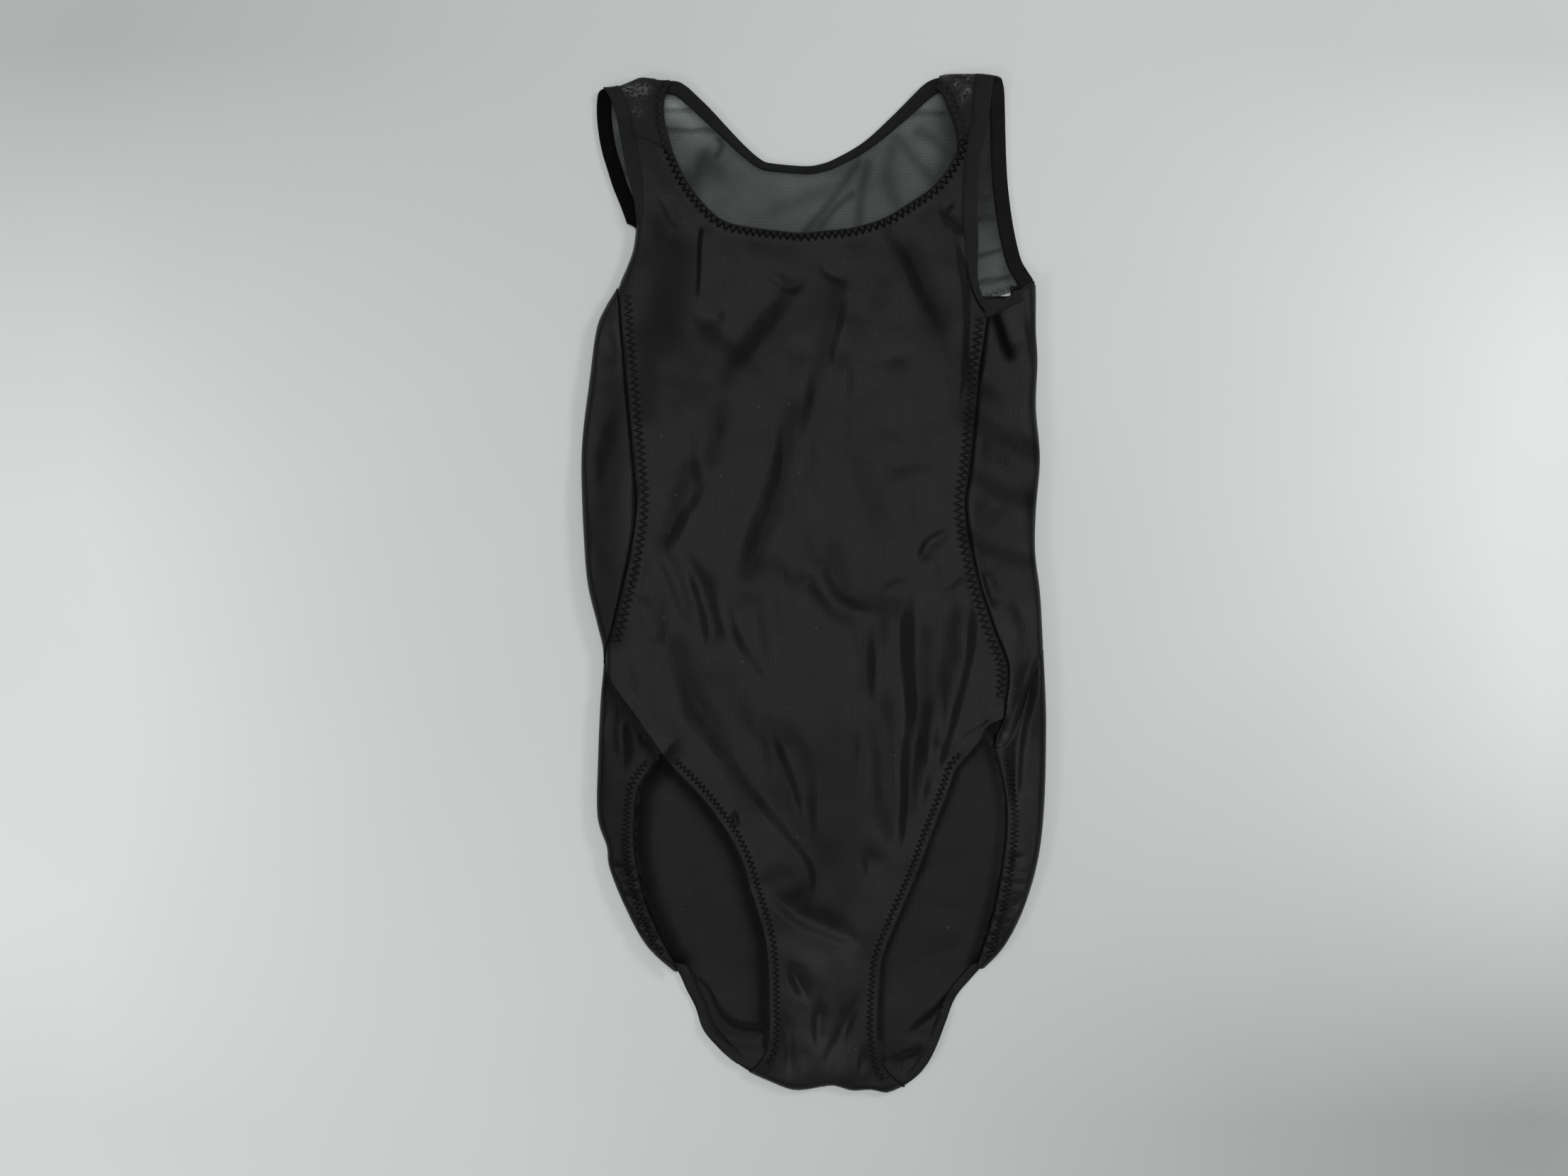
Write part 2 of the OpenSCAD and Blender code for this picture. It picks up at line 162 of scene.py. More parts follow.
SIDE_L = curve([[-112, 226], [-113.8, 211], [-117.9, 199.6], [-123.6, 186], [-130.5, 174.5],
                [-136.5, 160], [-141, 127], [-145, 95], [-146, 70], [-144.5, 30], [-142, 0],
                [-136, -25], [-132, -45], [-134, -75], [-135.5, -110], [-135.9, -146],
                [-130, -165], [-128.5, -178], [-119, -202], [-105, -227.5], [-86, -245]])
SIDE_R = curve([[138.4, 192], [139, 184], [139, 160], [140, 140], [139, 111], [141.5, 79],
                [139, 47], [138.5, 20], [141.5, -5], [143, -30], [145, -70], [145.4, -95],
                [144.2, -140], [140.2, -174], [131, -205], [119, -228], [105, -243]])
LOW_L = curve([[-90, -239], [-85, -246], [-80, -257], [-75, -267], [-69.5, -281.5],
               [-59, -293.5], [-50, -301], [-40, -307.5], [-30, -312.5], [-12.5, -318.7]])
LOW_R = curve([[108, -239], [98, -250], [91, -258], [86, -268], [78, -288.8], [72, -301],
               [66, -309], [56, -316.5], [46, -320.2]])
CROTCH_FOLD = curve([[-41, -307.5], [-30, -312.5], [-12.5, -318.7], [5.8, -316.6],
                     [12, -315.9], [24, -319], [36, -318.6], [46, -320.2], [57, -316]])
SHOULDER_L = curve([[-137.5, 305], [-136.2, 310], [-133.5, 312.3], [-123.6, 313.4],
                    [-116, 316.3], [-109.5, 318.8], [-102, 318.4], [-97, 317.3], [-87, 317.6]])
SHOULDER_R = curve([[77, 319.3], [83, 320.9], [92, 321.2], [104, 321.2], [111, 320.4],
                    [116.5, 319.4], [118.8, 317], [120, 311]])
SCOOP = curve([[-90.5, 315], [-93, 309.5], [-94.5, 303], [-94.3, 292], [-91, 278],
               [-87, 266.5], [-79, 250.5], [-66, 234.5], [-54.5, 226.5], [-36, 222.8],
               [-10, 219.7], [4, 220.5], [24.5, 223.2], [43, 228.5], [59, 238], [73, 247.5],
               [82, 257.5], [87, 265.5], [90.2, 273], [90.5, 281], [88.4, 290], [84.8, 299],
               [80.5, 307.5], [75.5, 312.5]])
NECK = curve([[-101, 317.3], [-87, 317], [-81, 314.2], [-76.5, 310.5], [-66.3, 300.8],
              [-54, 287.5], [-43, 276], [-34, 268.3], [-27, 265.6], [-6, 263.8], [4, 265],
              [14, 268.8], [32, 279.5], [49, 295], [62, 308], [70, 315.5], [77, 318.8],
              [88, 320.2]])
NECK_WIDTH = [[-101, 7], [-84, 8.5], [-66, 8], [-52, 6.4], [-36, 5.2], [-25, 4.6], [4, 4.6],
              [20, 5.0], [34, 5.6], [48, 7], [60, 8.2], [75, 9], [88, 8]]
ARM_L_FRONT = curve([[-133, 312.2], [-129, 306.5], [-124.8, 296], [-122, 282.2], [-119, 266.2],
                     [-115.6, 252.4], [-112.8, 238.6], [-111.6, 226], [-113, 212], [-117, 200],
                     [-121.5, 190]])
ARM_L_FRONT_WIDTH = [[188, 3.5], [222, 3.5], [236, 5.0], [252, 8.2], [266, 9.4], [283, 9.6],
                     [300, 8.6], [312, 9.0]]
ARM_L_BACK = curve([[-130.5, 312.6], [-134.6, 311.4], [-136.8, 307.5], [-137.3, 298], [-136.4, 286.8],
                    [-134.2, 274], [-130.5, 261.6], [-127, 250.5], [-121.3, 236.3],
                    [-115.5, 219], [-114.8, 210], [-118.5, 200], [-123, 190]])
ARM_R_FRONT = curve([[113.5, 319.5], [111.6, 311], [110.4, 300], [108, 288], [104.8, 274],
                     [103, 262], [102.1, 241.7], [102.5, 216.6], [102.9, 190], [107, 177.5],
                     [112, 169.5]])
ARM_R_FRONT_WIDTH = [[169, 3.0], [178, 4.0], [190, 5.0], [209, 8.0], [227, 9.6], [242, 9.8],
                     [270, 9.0], [297, 11.0], [320, 12.0]]
ARM_R_UNDER = curve([[105.5, 170], [111.6, 173.6], [120, 179], [128.6, 184.4], [134.5, 188.3],
                     [138.6, 191]])
ARM_R_BACK = curve([[118.3, 318.4], [120.2, 308], [120.9, 285], [121.4, 268], [122.7, 248.8],
                    [125.9, 225.5], [130.4, 206], [134.5, 197.5], [138, 191.3], [138.6, 186]])
PRINCESS_L = curve([[-123.6, 187], [-119, 133], [-115, 90], [-112, 52], [-115, 24],
                    [-124, -16], [-131.5, -43]])
PRINCESS_R = curve([[109.5, 171], [104, 130], [98, 73], [95, 48], [100, 15], [111, -23],
                    [120.4, -47], [121.6, -60], [120, -73], [119.3, -82]])
LEG_L = curve([[-131.5, -47], [-128.4, -60], [-123.8, -66.5], [-105.2, -92.5], [-91.2, -111.5],
               [-70.3, -133.5], [-54, -155.5], [-44.7, -174], [-39.8, -191], [-31.5, -218],
               [-28.8, -240], [-28.2, -261], [-28.3, -282.7], [-30, -293], [-35.3, -302.5],
               [-41, -307.2]])
LEG_R = curve([[119, -84], [109, -88.5], [105, -96], [98.3, -104.5], [89, -115], [85.5, -125.3],
               [80.8, -137], [72.6, -158], [63.3, -183.6], [51, -212], [43, -232], [40.7, -249.2],
               [39.4, -276.6], [40.9, -292], [43.9, -304], [51.6, -312.6], [57, -316]])
HIP_L = curve([[-93, -104], [-99, -111], [-105, -119], [-109.8, -127], [-112.2, -141],
               [-112.8, -164.7], [-110, -183.3], [-106, -200], [-98.2, -218], [-86, -242]])
HIP_R = curve([[110, -97], [113, -104], [117, -118], [120, -134.7], [120.3, -155.6],
               [118, -176.6], [113.4, -202.3], [107, -225], [102, -241]])
BACK_SEAM_R = curve([[143.8, -38], [138, -55.5], [133.3, -71.7], [126.5, -88], [121.5, -97.5],
                     [115, -103]])
YOKE = curve([[-116, 196], [-100, 181], [-40, 173], [30, 172], [90, 175], [132, 187]])
STRAP_L_LOW = curve([[-117, 281.5], [-110, 281], [-103, 278.8], [-94, 273.5], [-87.3, 267]])


# ---- Relief of the two layers --------------------------------------------------------------------

def fold(pts, line, slope, width, low=1, taper=(0.45, 0.45), back=2.2):
    """Height change of a fold: a sloping band along a line, narrowing to a tip at both ends. The
    cloth is lower on the band's left (low 1) or right (-1) and comes back up gently beyond it, over
    so many band widths. With low 0 it is a plain crease."""
    path = curve(line, 4.0)
    reach = (2.2 * back + 1.5) * max(width)
    near = np.all((pts > path.min(axis=0) - reach) & (pts < path.max(axis=0) + reach), axis=1)
    out = np.zeros(len(pts))
    if not near.any():
        return out
    d, run, length = nearest(path, pts[near])
    t = run / length
    ends = smooth(t / taper[0]) * smooth((1 - t) / taper[1])
    w = 1.2 * (width[0] + (width[1] - width[0]) * t) * (0.4 + 0.6 * ends)
    if low == 0:
        out[near] = -0.6 * slope * w * ends * np.exp(-(2 * d / w) ** 2)
        return out
    x = d * low / w + 0.5
    ramp = 0.75 * np.clip(x, 0, 1) + 0.25 * smooth(x)
    out[near] = -0.9 * slope * w * ends * ramp * np.exp(-(np.maximum(x - 1, 0) / back) ** 2)
    return out


SOFT = (0.5, 0.5)
EVEN = (0.35, 0.35)
# Folds of the front: points, slope of the band, its width from and to, low side, tapers, way back
FRONT_FOLDS = [
    # under the neck hem
    ([[-62, 225], [-68, 224], [-71.5, 216], [-72, 206], [-73, 182], [-74, 166]], 0.8, (2.6, 1.2), -1,
     (0.25, 0.4), 4.0),
    ([[-79, 172], [-66, 171.5], [-53, 172.5]], 0.3, (5, 4.6), -1, EVEN, 1.6),
    ([[-103, 222], [-98, 192], [-97, 165], [-104, 130], [-107, 86]], 0.24, (17, 10), 1, EVEN),
    ([[-77, 158], [-73, 134], [-70, 110]], 0.18, (2.6, 2.6), 1, EVEN),
    ([[-101, 246], [-94, 235], [-86, 218]], 0.6, (1.4, 2.4), 1, EVEN, 3.0),
    ([[-33, 206], [-31, 196], [-23, 187], [-13, 183], [-7, 189], [-6, 203]], 0.36, (4, 4), 1,
     EVEN, 0.8),
    ([[4, 204], [6, 194], [14, 190], [24, 188]], 0.32, (3.6, 3.6), 1, EVEN, 0.8),
    ([[38, 222], [52, 212], [60, 197], [68, 181], [79, 159], [85, 150]], 0.34, (7, 7), 1, EVEN, 1.6),
    ([[75, 238], [81, 231], [88, 224], [92, 213]], 0.5, (3.4, 3.4), 1, EVEN),
    ([[78, 225], [84, 233], [89, 241]], 0.5, (2.8, 2.8), -1, EVEN),
    ([[84, 228], [92, 204], [94.5, 186], [95.5, 160], [94, 131], [90, 109], [87, 80]], 0.62,
     (5.4, 3.0), 1, (0.25, 0.5)),
    # chest and middle
    ([[-4, 192], [-21, 174], [-35, 158], [-48, 141], [-60, 126]], 0.26, (10, 12), -1, EVEN),
    ([[25, 192], [17.5, 170], [14, 156], [8, 126]], 0.38, (6, 4.6), 1, EVEN),
    ([[-8, 166], [-14, 146], [-19, 126]], 0.2, (6, 6), 1, SOFT, 1.6),
    ([[-1, 144], [-2, 120], [-6, 102], [-8, 82], [-12, 46]], 0.3, (7, 7), 1, EVEN),
    ([[30, 156], [21, 125], [20, 102], [24, 62]], 0.24, (8, 9), 1, EVEN),
    ([[54, 158], [61, 132]], 0.2, (7, 7), -1, SOFT),
    ([[49, 122], [55, 100], [61, 80]], 0.22, (5, 5), -1, SOFT),
    ([[42, 90], [46, 58]], 0.16, (9, 9), 1, SOFT),
    ([[64, 132], [73, 110], [77, 86]], 0.15, (6, 6), 1, SOFT),
    ([[-11, 128], [-20, 103], [-24, 73], [-30, 55], [-36, 36], [-44, 14], [-53, -14]], 0.38,
     (6, 12), 1, (0.4, 0.3)),
    ([[-48, 130], [-58, 103], [-63, 70]], 0.3, (7, 6), 1, SOFT, 2.4),
    ([[-86, 88], [-75, 72], [-64, 58]], 0.24, (11, 9), -1, SOFT, 1.4),
    ([[-62, 68], [-72, 55], [-82, 42], [-91, 24], [-99, 12]], 0.38, (7, 7), -1, EVEN),
    ([[-45, 94], [-52, 62], [-57, 30]], 0.18, (6, 6), 1, SOFT),
    ([[-23, 26], [-17.5, 4], [-16, -14]], 0.3, (6, 5), 1, SOFT, 1.4),
    ([[14, 20], [7, 6], [15, -7], [31, -15], [42, -11]], 0.42, (7.5, 7), -1, EVEN, 1.0),
    ([[38, -12], [44, -2], [55, 2], [68, -4]], 0.25, (4, 4), -1, SOFT, 1.0),
    ([[89, 38], [78, 32], [69, 26], [62, 8]], 0.55, (3.4, 3.4), 1, EVEN, 1.4),
    ([[68, -6], [84, -3], [93, 5], [96, 20]], 0.3, (4, 5), -1, SOFT, 1.0),
    # the deep upright folds on the right of the belly
    ([[62, 12], [59, -20], [58.5, -47], [60.5, -83], [57, -114], [56, -140], [53, -176]], 0.66,
     (10, 4.2), -1, (0.22, 0.15)),
    ([[35, -20], [36, -50], [36, -84]], 0.4, (3, 3), 1, SOFT, 1.4),
    ([[96, 2], [99, -29], [94.5, -58], [88, -82], [82, -104], [74, -128]], 0.66, (6, 3.6), -1,
     (0.25, 0.2)),
    ([[79, -56], [76, -98], [69, -134], [61, -158]], 0.46, (5, 4), -1, EVEN),
    # slanting folds that run down to the crotch
    ([[-86, -22], [-88, -44], [-84, -66], [-74, -86], [-62, -100], [-48, -119], [-37, -133],
      [-19, -154], [-4, -174], [-1, -190], [-4, -206]], 0.42, (12, 3.2), 1, (0.3, 0.1)),
    ([[-103, 30], [-91, 2], [-82, -20], [-75, -34]], 0.42, (5, 5), 1, EVEN, 1.2),
    ([[-116, -2], [-105, -29], [-98, -46]], 0.3, (5, 5), 1, EVEN, 1.4),
    ([[-84, 24], [-72, -12], [-68, -30], [-68, -56]], 0.55, (5.6, 4), 1, EVEN, 1.4),
    ([[-61, 4], [-53, -23], [-43, -42], [-33, -56], [-18, -72]], 0.42, (10, 2.4), 1, (0.3, 0.3)),
    ([[-34, -78], [-19, -110], [-11, -134], [-2, -164]], 0.5, (7, 4), 1, EVEN),
    ([[7, -98], [5, -140], [3, -174]], 0.22, (5, 4), 1, SOFT),
    ([[29, -80], [25, -126]], 0.25, (3, 3), 1, SOFT),
    ([[31, -158], [33, -190]], 0.26, (3.4, 3.4), 1, SOFT),
    ([[-34, -188], [-15, -209], [5, -219], [21, -225], [36, -232]], 0.5, (6, 4), 1, (0.3, 0.3), 1.6),
    ([[-50, -139], [-49, -156]], 1.0, (3, 2), 0, SOFT),
    ([[-20, -164], [-14, -186], [-14, -207]], 0.2, (6, 6), -1, SOFT),
    # puckers over the crotch
    ([[-20, -234], [-10, -256], [0, -266]], 0.5, (4.6, 3.4), 1, EVEN, 1.2),
    ([[3, -258], [-0.5, -277], [2, -297]], 0.4, (4, 3.4), 1, EVEN, 1.2),
    ([[-24, -264], [-18, -290], [-18, -314]], 0.34, (3.4, 3), 1, EVEN, 1.4),
    ([[-9, -280], [-9, -314]], 0.28, (3.4, 3), 1, SOFT, 1.2),
    ([[31, -254], [21, -282], [12, -296], [6, -310]], 0.5, (4.4, 3), -1, EVEN, 1.2),
    ([[29, -279], [20, -292], [13, -310]], 0.36, (3, 2.6), -1, SOFT, 1.2),
    ([[30, -284], [27, -314]], 0.34, (2.8, 2.6), 1, SOFT, 1.2),
    # right side panel
    ([[111, 176], [114.5, 165], [118.5, 152], [125, 136]], 0.6, (4, 5), 1, (0.25, 0.4), 1.6),
    ([[131, 182], [133.5, 156], [138, 126]], 0.4, (3.4, 3.4), 1, SOFT, 1.2),
    ([[103, 158], [110, 136], [124, 112]], 0.26, (9, 10), -1, SOFT, 1.2),
    ([[94, 101], [112, 93], [140, 76]], 0.26, (8, 6), -1, SOFT, 1.6),
    ([[92, 62], [108, 58], [130, 53]], 0.18, (11, 10), -1, SOFT, 1.2),
    ([[94, 31], [112, 25], [136, 17]], 0.18, (11, 10), -1, SOFT, 1.2),
    ([[102, 12], [107, -3], [113, -20]], 0.7, (4, 3.6), 1, EVEN, 1.2),
    ([[110, 2], [124, -16], [134, -40]], 0.2, (8, 8), 1, SOFT, 1.0),
    ([[141.5, -36], [138.5, -65], [133, -86], [130, -104], [128.5, -126], [126, -146]], 0.7,
     (4.6, 3.2), -1, (0.2, 0.2), 1.4),
    ([[121, -82], [116, -94], [111, -106]], 0.7, (3.4, 3.0), 1, SOFT, 1.0),
    ([[134, -167], [125, -170], [118, -168]], 0.4, (3.4, 3.0), 1, SOFT, 1.0),
    ([[134, -193], [124, -199], [114, -204]], 0.5, (3.6, 3.0), 1, SOFT, 1.0),
    ([[125, -214], [113, -221]], 0.45, (3.4, 3.0), 1, SOFT, 1.0),
    # left side panel and hip
    ([[-119, 124], [-127, 96], [-138, 50]], 0.2, (12, 9), -1, SOFT, 1.4),
    ([[-119, 72], [-113, 38]], 0.28, (7, 7), 1, SOFT, 1.0),
    ([[-128, 28], [-121, 8], [-125, -12]], 0.26, (8, 8), 1, SOFT, 1.0),
    ([[-138, 166], [-132, 126]], 0.18, (7, 7), 1, SOFT, 1.0),
    ([[-127, -70], [-124, -84], [-124, -98], [-120, -124]], 0.55, (5, 4.5), 1, (0.3, 0.4), 1.0),
    ([[-111.5, -89], [-107.5, -107]], 0.6, (3, 2.6), 1, SOFT, 1.0),
    ([[-132, -177], [-122, -180], [-112, -184]], 0.5, (3.4, 3.0), 1, SOFT, 1.0),
    ([[-124, -194], [-113, -200], [-105, -206]], 0.5, (3.4, 3.0), 1, SOFT, 1.0),
    ([[-115, -212], [-101, -220]], 0.45, (3.2, 3.0), 1, SOFT, 1.0),
]

# Folds of the back layer that show through the leg openings
BACK_FOLDS = [
    ([[-78, -244], [-70, -255], [-60, -271], [-47, -280], [-22, -281]], 0.75, (6, 6), -1,
     (0.25, 0.15), 1.2),
    ([[54, -286], [66, -277], [76, -269], [94, -251]], 0.6, (4.4, 4), -1, EVEN, 1.2),
    ([[44, -298], [58, -297], [70, -288]], 0.5, (5, 5), -1, SOFT, 1.2),
]
# Where the back layer rises towards a leg opening's edge: line, reach, rise
BANKS = ((HIP_L[:-4], 12, 3.6), (HIP_R[:-4], 8, 2.6), (LEG_L[20:-12], 8, 2.0), (LEG_R[4:-12], 5, 1.2))

LOFT = curve([[-330, 5.2], [-290, 7.0], [-220, 9.0], [-120, 10.8], [-20, 11.4], [90, 11.2],
              [170, 10.6], [225, 9.2], [262, 8.2], [300, 7.6], [330, 7.2]], 4.0) / SCALE
WAVES = [(rng.uniform(0, 2 * math.pi), rng.uniform(24, 80), rng.uniform(0, 2 * math.pi))
         for _ in range(18)]
OUTER_FOLDS = (SIDE_L, SIDE_R, CROTCH_FOLD, SHOULDER_L, SHOULDER_R)


def sway(pts, size):
    """Low, irregular unevenness made of a few crossing waves."""
    z = np.zeros(len(pts))
    for angle, length, phase in WAVES:
        along = pts @ np.array([math.cos(angle), math.sin(angle)])
        z += np.sin(2 * math.pi * along / (length * size) + phase) * (length / 80)
    return z / len(WAVES)


def fold_distance(pts):
    """How far a point is from the nearest fold that joins the front to the back."""
    return np.min([np.abs(nearest(line[::2], pts)[0]) for line in OUTER_FOLDS], axis=0)


def rounding(d):
    """0 at a fold's outermost line and 1 where the cloth has levelled out."""
    return np.sqrt(1 - (1 - np.clip(d / ROUND, 0, 1)) ** 2)


def gathers(pts, line, lo, hi, pitch, height, reach):
    """Ripples that a stretched elastic pulls into a hem between two heights."""
    d, run, _ = nearest(line[::2], pts)
    zone = smooth((pts[:, 1] - lo) / 14) * smooth((hi - pts[:, 1]) / 14)
    wave = np.sin(2 * math.pi * run / pitch + 1.1 * np.sin(run / 7.3)) * height
    return wave * zone * np.exp(-(np.maximum(np.abs(d) - 3, 0) / reach) ** 2)


# Hems that their elastic gathers: line, lowest and highest y, pitch, height and reach of the ripples
GATHERS = (
    (HIP_L, -240, -150, 3.1, 0.35, 5), (HIP_L, -238, -166, 9.0, 0.6, 12),
    (HIP_R, -240, -146, 3.1, 0.35, 5), (HIP_R, -236, -166, 8.4, 0.6, 12),
    (SCOOP, 210, 262, HEM_PITCH, 0.16, 3),
    (LEG_L, -300, -130, 3.4, 0.14, 4), (LEG_R, -300, -130, 3.4, 0.14, 4),
)


def front_z(pts):
    """Height of the front layer's upper face."""
    d = fold_distance(pts)
    level = np.interp(pts[:, 1] / KY, LOFT[:, 0], LOFT[:, 1])
    z = LEVEL_Z + (level - LEVEL_Z) * (0.62 + 0.38 * (1 - np.exp(-d / 22)))
    z += 2.6 * sway(pts, 1.0) * smooth(d / 12) + 0.8 * sway(pts[:, ::-1], 0.45) * smooth(d / 8)
    z += 2.2 * sway(pts * [1, 0.35], 0.36) * smooth(d / 10)
    for spec in FRONT_FOLDS:
        z += fold(pts, *spec)
    for spec in GATHERS:
        z += gathers(pts, *spec)
    z = np.maximum(z, FRONT_LOW_Z)
    return EDGE_Z + (z - EDGE_Z) * rounding(d)


def back_z(pts):
    """Height of the back layer's upper face."""
    z = BACK_Z + 1.1 * np.abs(sway(pts, 0.8)) + 3.2 * smooth((-238 - pts[:, 1] / KY) / 56)
    for spec in BACK_FOLDS:
        z += fold(pts, *spec)
    for line, reach, rise in BANKS:
        z += rise * np.clip(1 - np.abs(nearest(line[::2], pts)[0]) / reach, 0, 1)
    z = np.maximum(z, BACK_LOW_Z)
    return EDGE_Z - (EDGE_Z - z) * rounding(fold_distance(pts))


# ---- Meshes --------------------------------------------------------------------------------------

def grid_normals(grid):
    du = np.gradient(grid, axis=1)
    dv = np.gradient(grid, axis=0)
    n = np.cross(du, dv)
    return n / np.maximum(np.linalg.norm(n, axis=2, keepdims=True), 1e-9)


class Piece:
    """Collects the points, faces and marks of one piece and makes its mesh."""

    def __init__(self):
        self.verts, self.faces, self.marks, self.count = [], [], {}, 0

    def store(self, verts, faces, marks):
        self.verts.append(verts)
        self.faces += [[i + self.count for i in face] for face in faces]
        for key, values in marks.items():
            self.marks.setdefault(key, []).append(values)
        self.count += len(verts)
        return self

    def piece(self, name, material, merge=0.0):
        mesh = bpy.data.meshes.new(name)
        mesh.from_pydata((np.vstack(self.verts) * MM).tolist(), [], self.faces)
        for key, values in self.marks.items():
            layer = mesh.attributes.new(key, "FLOAT", "POINT")
            layer.data.foreach_set("value", np.concatenate(values).astype(np.float32))
        mesh.polygons.foreach_set("use_smooth", np.ones(len(mesh.polygons), bool))
        mesh.materials.append(material)
        obj = bpy.data.objects.new(name, mesh)
        bpy.context.scene.collection.objects.link(obj)
        work = bmesh.new()
        work.from_mesh(mesh)
        if merge:
            bmesh.ops.remove_doubles(work, verts=work.verts, dist=merge * MM)
        bmesh.ops.recalc_face_normals(work, faces=work.faces)
        work.to_mesh(mesh)
        work.free()
        return obj


class Cloth(Piece):
    """Grids of cloth, each one closed to an even thickness."""

    def add(self, grid, thick, up=1.0, **marks):
        """grid[row, column] is the outer face. A rim closes each of its four edges."""
        rows, cols = grid.shape[:2]
        inner = grid - grid_normals(grid) * thick * up
        index = np.arange(rows * cols).reshape(rows, cols)
        under = index + rows * cols
        quads = np.stack([index[:-1, :-1], index[:-1, 1:], index[1:, 1:], index[1:, :-1]], -1)
        below = np.stack([under[:-1, :-1], under[1:, :-1], under[1:, 1:], under[:-1, 1:]], -1)
        faces = [quads.reshape(-1, 4), below.reshape(-1, 4)]
        for a, b in ((index[:, 0], under[:, 0]), (index[:, -1], under[:, -1]),
                     (index[0], under[0]), (index[-1], under[-1])):
            faces.append(np.stack([a[:-1], a[1:], b[1:], b[:-1]], -1))
        twice = {key: np.tile(np.asarray(v, float).reshape(-1), 2) for key, v in marks.items()}
        verts = np.vstack([grid.reshape(-1, 3), inner.reshape(-1, 3)])
        return self.store(verts, np.vstack(faces).tolist(), twice)


class Bundle(Piece):
    """Closed tubes and bands."""

    def add(self, grid, **marks):
        once = {key: np.asarray(v, float).reshape(-1) for key, v in marks.items()}
        return self.store(grid.reshape(-1, 3), ring(grid), once)


def flat(grid):
    return grid[..., :2].reshape(-1, 2)


def lifted(plan, height):
    """A plan grid with the height of a layer at every point."""
    z = height(flat(plan)).reshape(plan.shape[:2])
    return np.dstack([plan[..., 0], plan[..., 1], z])


def at(line, t):
    """Points at given fractions of a line's length."""
    s = np.concatenate([[0], np.cumsum(np.hypot(*np.diff(line, axis=0).T))])
    return np.column_stack([np.interp(np.asarray(t) * s[-1], s, line[:, k]) for k in range(2)])


def patch(bottom, top, left, right, v=None):
    """Plan grid between four boundary lines that meet at the corners. v places the rows."""
    u = np.linspace(0, 1, len(bottom))[None, :, None]
    v = (np.linspace(0, 1, len(left)) if v is None else v)[:, None, None]
    corners = ((1 - u) * (1 - v) * bottom[0] + u * (1 - v) * bottom[-1]
               + (1 - u) * v * top[0] + u * v * top[-1])
    return ((1 - v) * bottom[None] + v * top[None] + (1 - u) * left[:, None]
            + u * right[:, None] - corners)


OUTLINE = ((SHOULDER_L, -1), (SHOULDER_R, -1), (SIDE_L, 1), (SIDE_R, -1), (CROTCH_FOLD, 1))


def kept_in(plan):
    """The same grid with points that stick out past the garment's outline brought back onto it."""
    pts = plan.reshape(-1, 2).copy()
    for line, side in OUTLINE:
        d, run, length = nearest(line, pts)
        out = (d * side < 0) & (np.abs(d) < 9) & (run > 0.01) & (run < length - 0.01)
        pts[out] = at(line, run[out] / length)
    return pts.reshape(plan.shape)


def strip(line, widths, height, lift=0.0, side=1.0):
    """Grid along a line, at several distances from it on one side, lying on a layer. The widths
    may be one row for the whole line or one row for each of its points."""
    w = np.broadcast_to(np.atleast_2d(widths), (len(line), np.shape(widths)[-1]))
    plan = kept_in(line[:, None, :] + (left_of(line) * side)[:, None, :] * w[..., None])
    grid = lifted(plan, height)
    grid[..., 2] += lift
    return grid


def ring(grid):
    """Faces of a grid whose columns close into a loop, with both ends capped."""
    rows, cols = grid.shape[:2]
    index = np.arange(rows * cols).reshape(rows, cols)
    nxt = np.roll(index, -1, axis=1)
    faces = np.stack([index[:-1], nxt[:-1], nxt[1:], index[1:]], -1).reshape(-1, 4).tolist()
    faces.append(index[0][::-1].tolist())
    faces.append(index[-1].tolist())
    return faces


def hem_tube(line, side, height, inset=-0.3, width=HEM_W, thick=HEM_T, drop=1.0):
    """Flattened roll of cloth over elastic, just under the edge of a layer, thinner at its ends."""
    angles = np.linspace(0, 2 * math.pi, 14, endpoint=False)
    run = np.arange(len(line)) * np.hypot(*(line[1] - line[0]))
    ends = (0.25 + 0.75 * smooth(run / 7) * smooth((run[-1] - run) / 7))[:, None]
    w = inset + width / 2 * (1 - np.sign(np.cos(angles)) * np.abs(np.cos(angles)) ** 0.8) * ends
    h = thick / 2 * np.sign(np.sin(angles)) * np.abs(np.sin(angles)) ** 0.8 * ends
    return strip(line, w, height, h - drop, side)


def bound_edge(line, side, height, width, leaf=TAPE, gap=0.7, lift=0.1):
    """Tape folded over an edge: a rounded U in section, open towards the cloth. Returns the grid and
    how far each of its points is from the fold."""
    half = gap / 2 + leaf
    turn = np.linspace(math.pi / 2, -math.pi / 2, 7)
    inner = np.array([half + 0.4, half + 0.4])
    fraction = np.array([1.0, 0.8, 0.6, 0.4, 0.2])
    width = np.broadcast_to(width, len(line))[:, None]
    flat_w = half + (width - half) * fraction
    full = flat_w[:, :1]
    ones = np.ones((len(line), 1))
    w = np.hstack([flat_w, ones * (half - half * np.cos(turn)), flat_w[:, ::-1], full, ones * inner,
                   full])
    h = np.concatenate([np.full(5, half), half * np.sin(turn), np.full(5, -half), [-gap / 2],
                        [-gap / 2, gap / 2], [gap / 2]])
    run = np.arange(len(line)) * np.hypot(*(line[1] - line[0]))
    ripple = 0.22 * np.sin(run / 1.9 + 2 * np.sin(run / 11)) + 0.3 * np.sin(run / 6.3)
    h = h[None, :] + lift + ripple[:, None] * w / width.max() * (h > 0)
    return strip(line, w, height, h, side), w


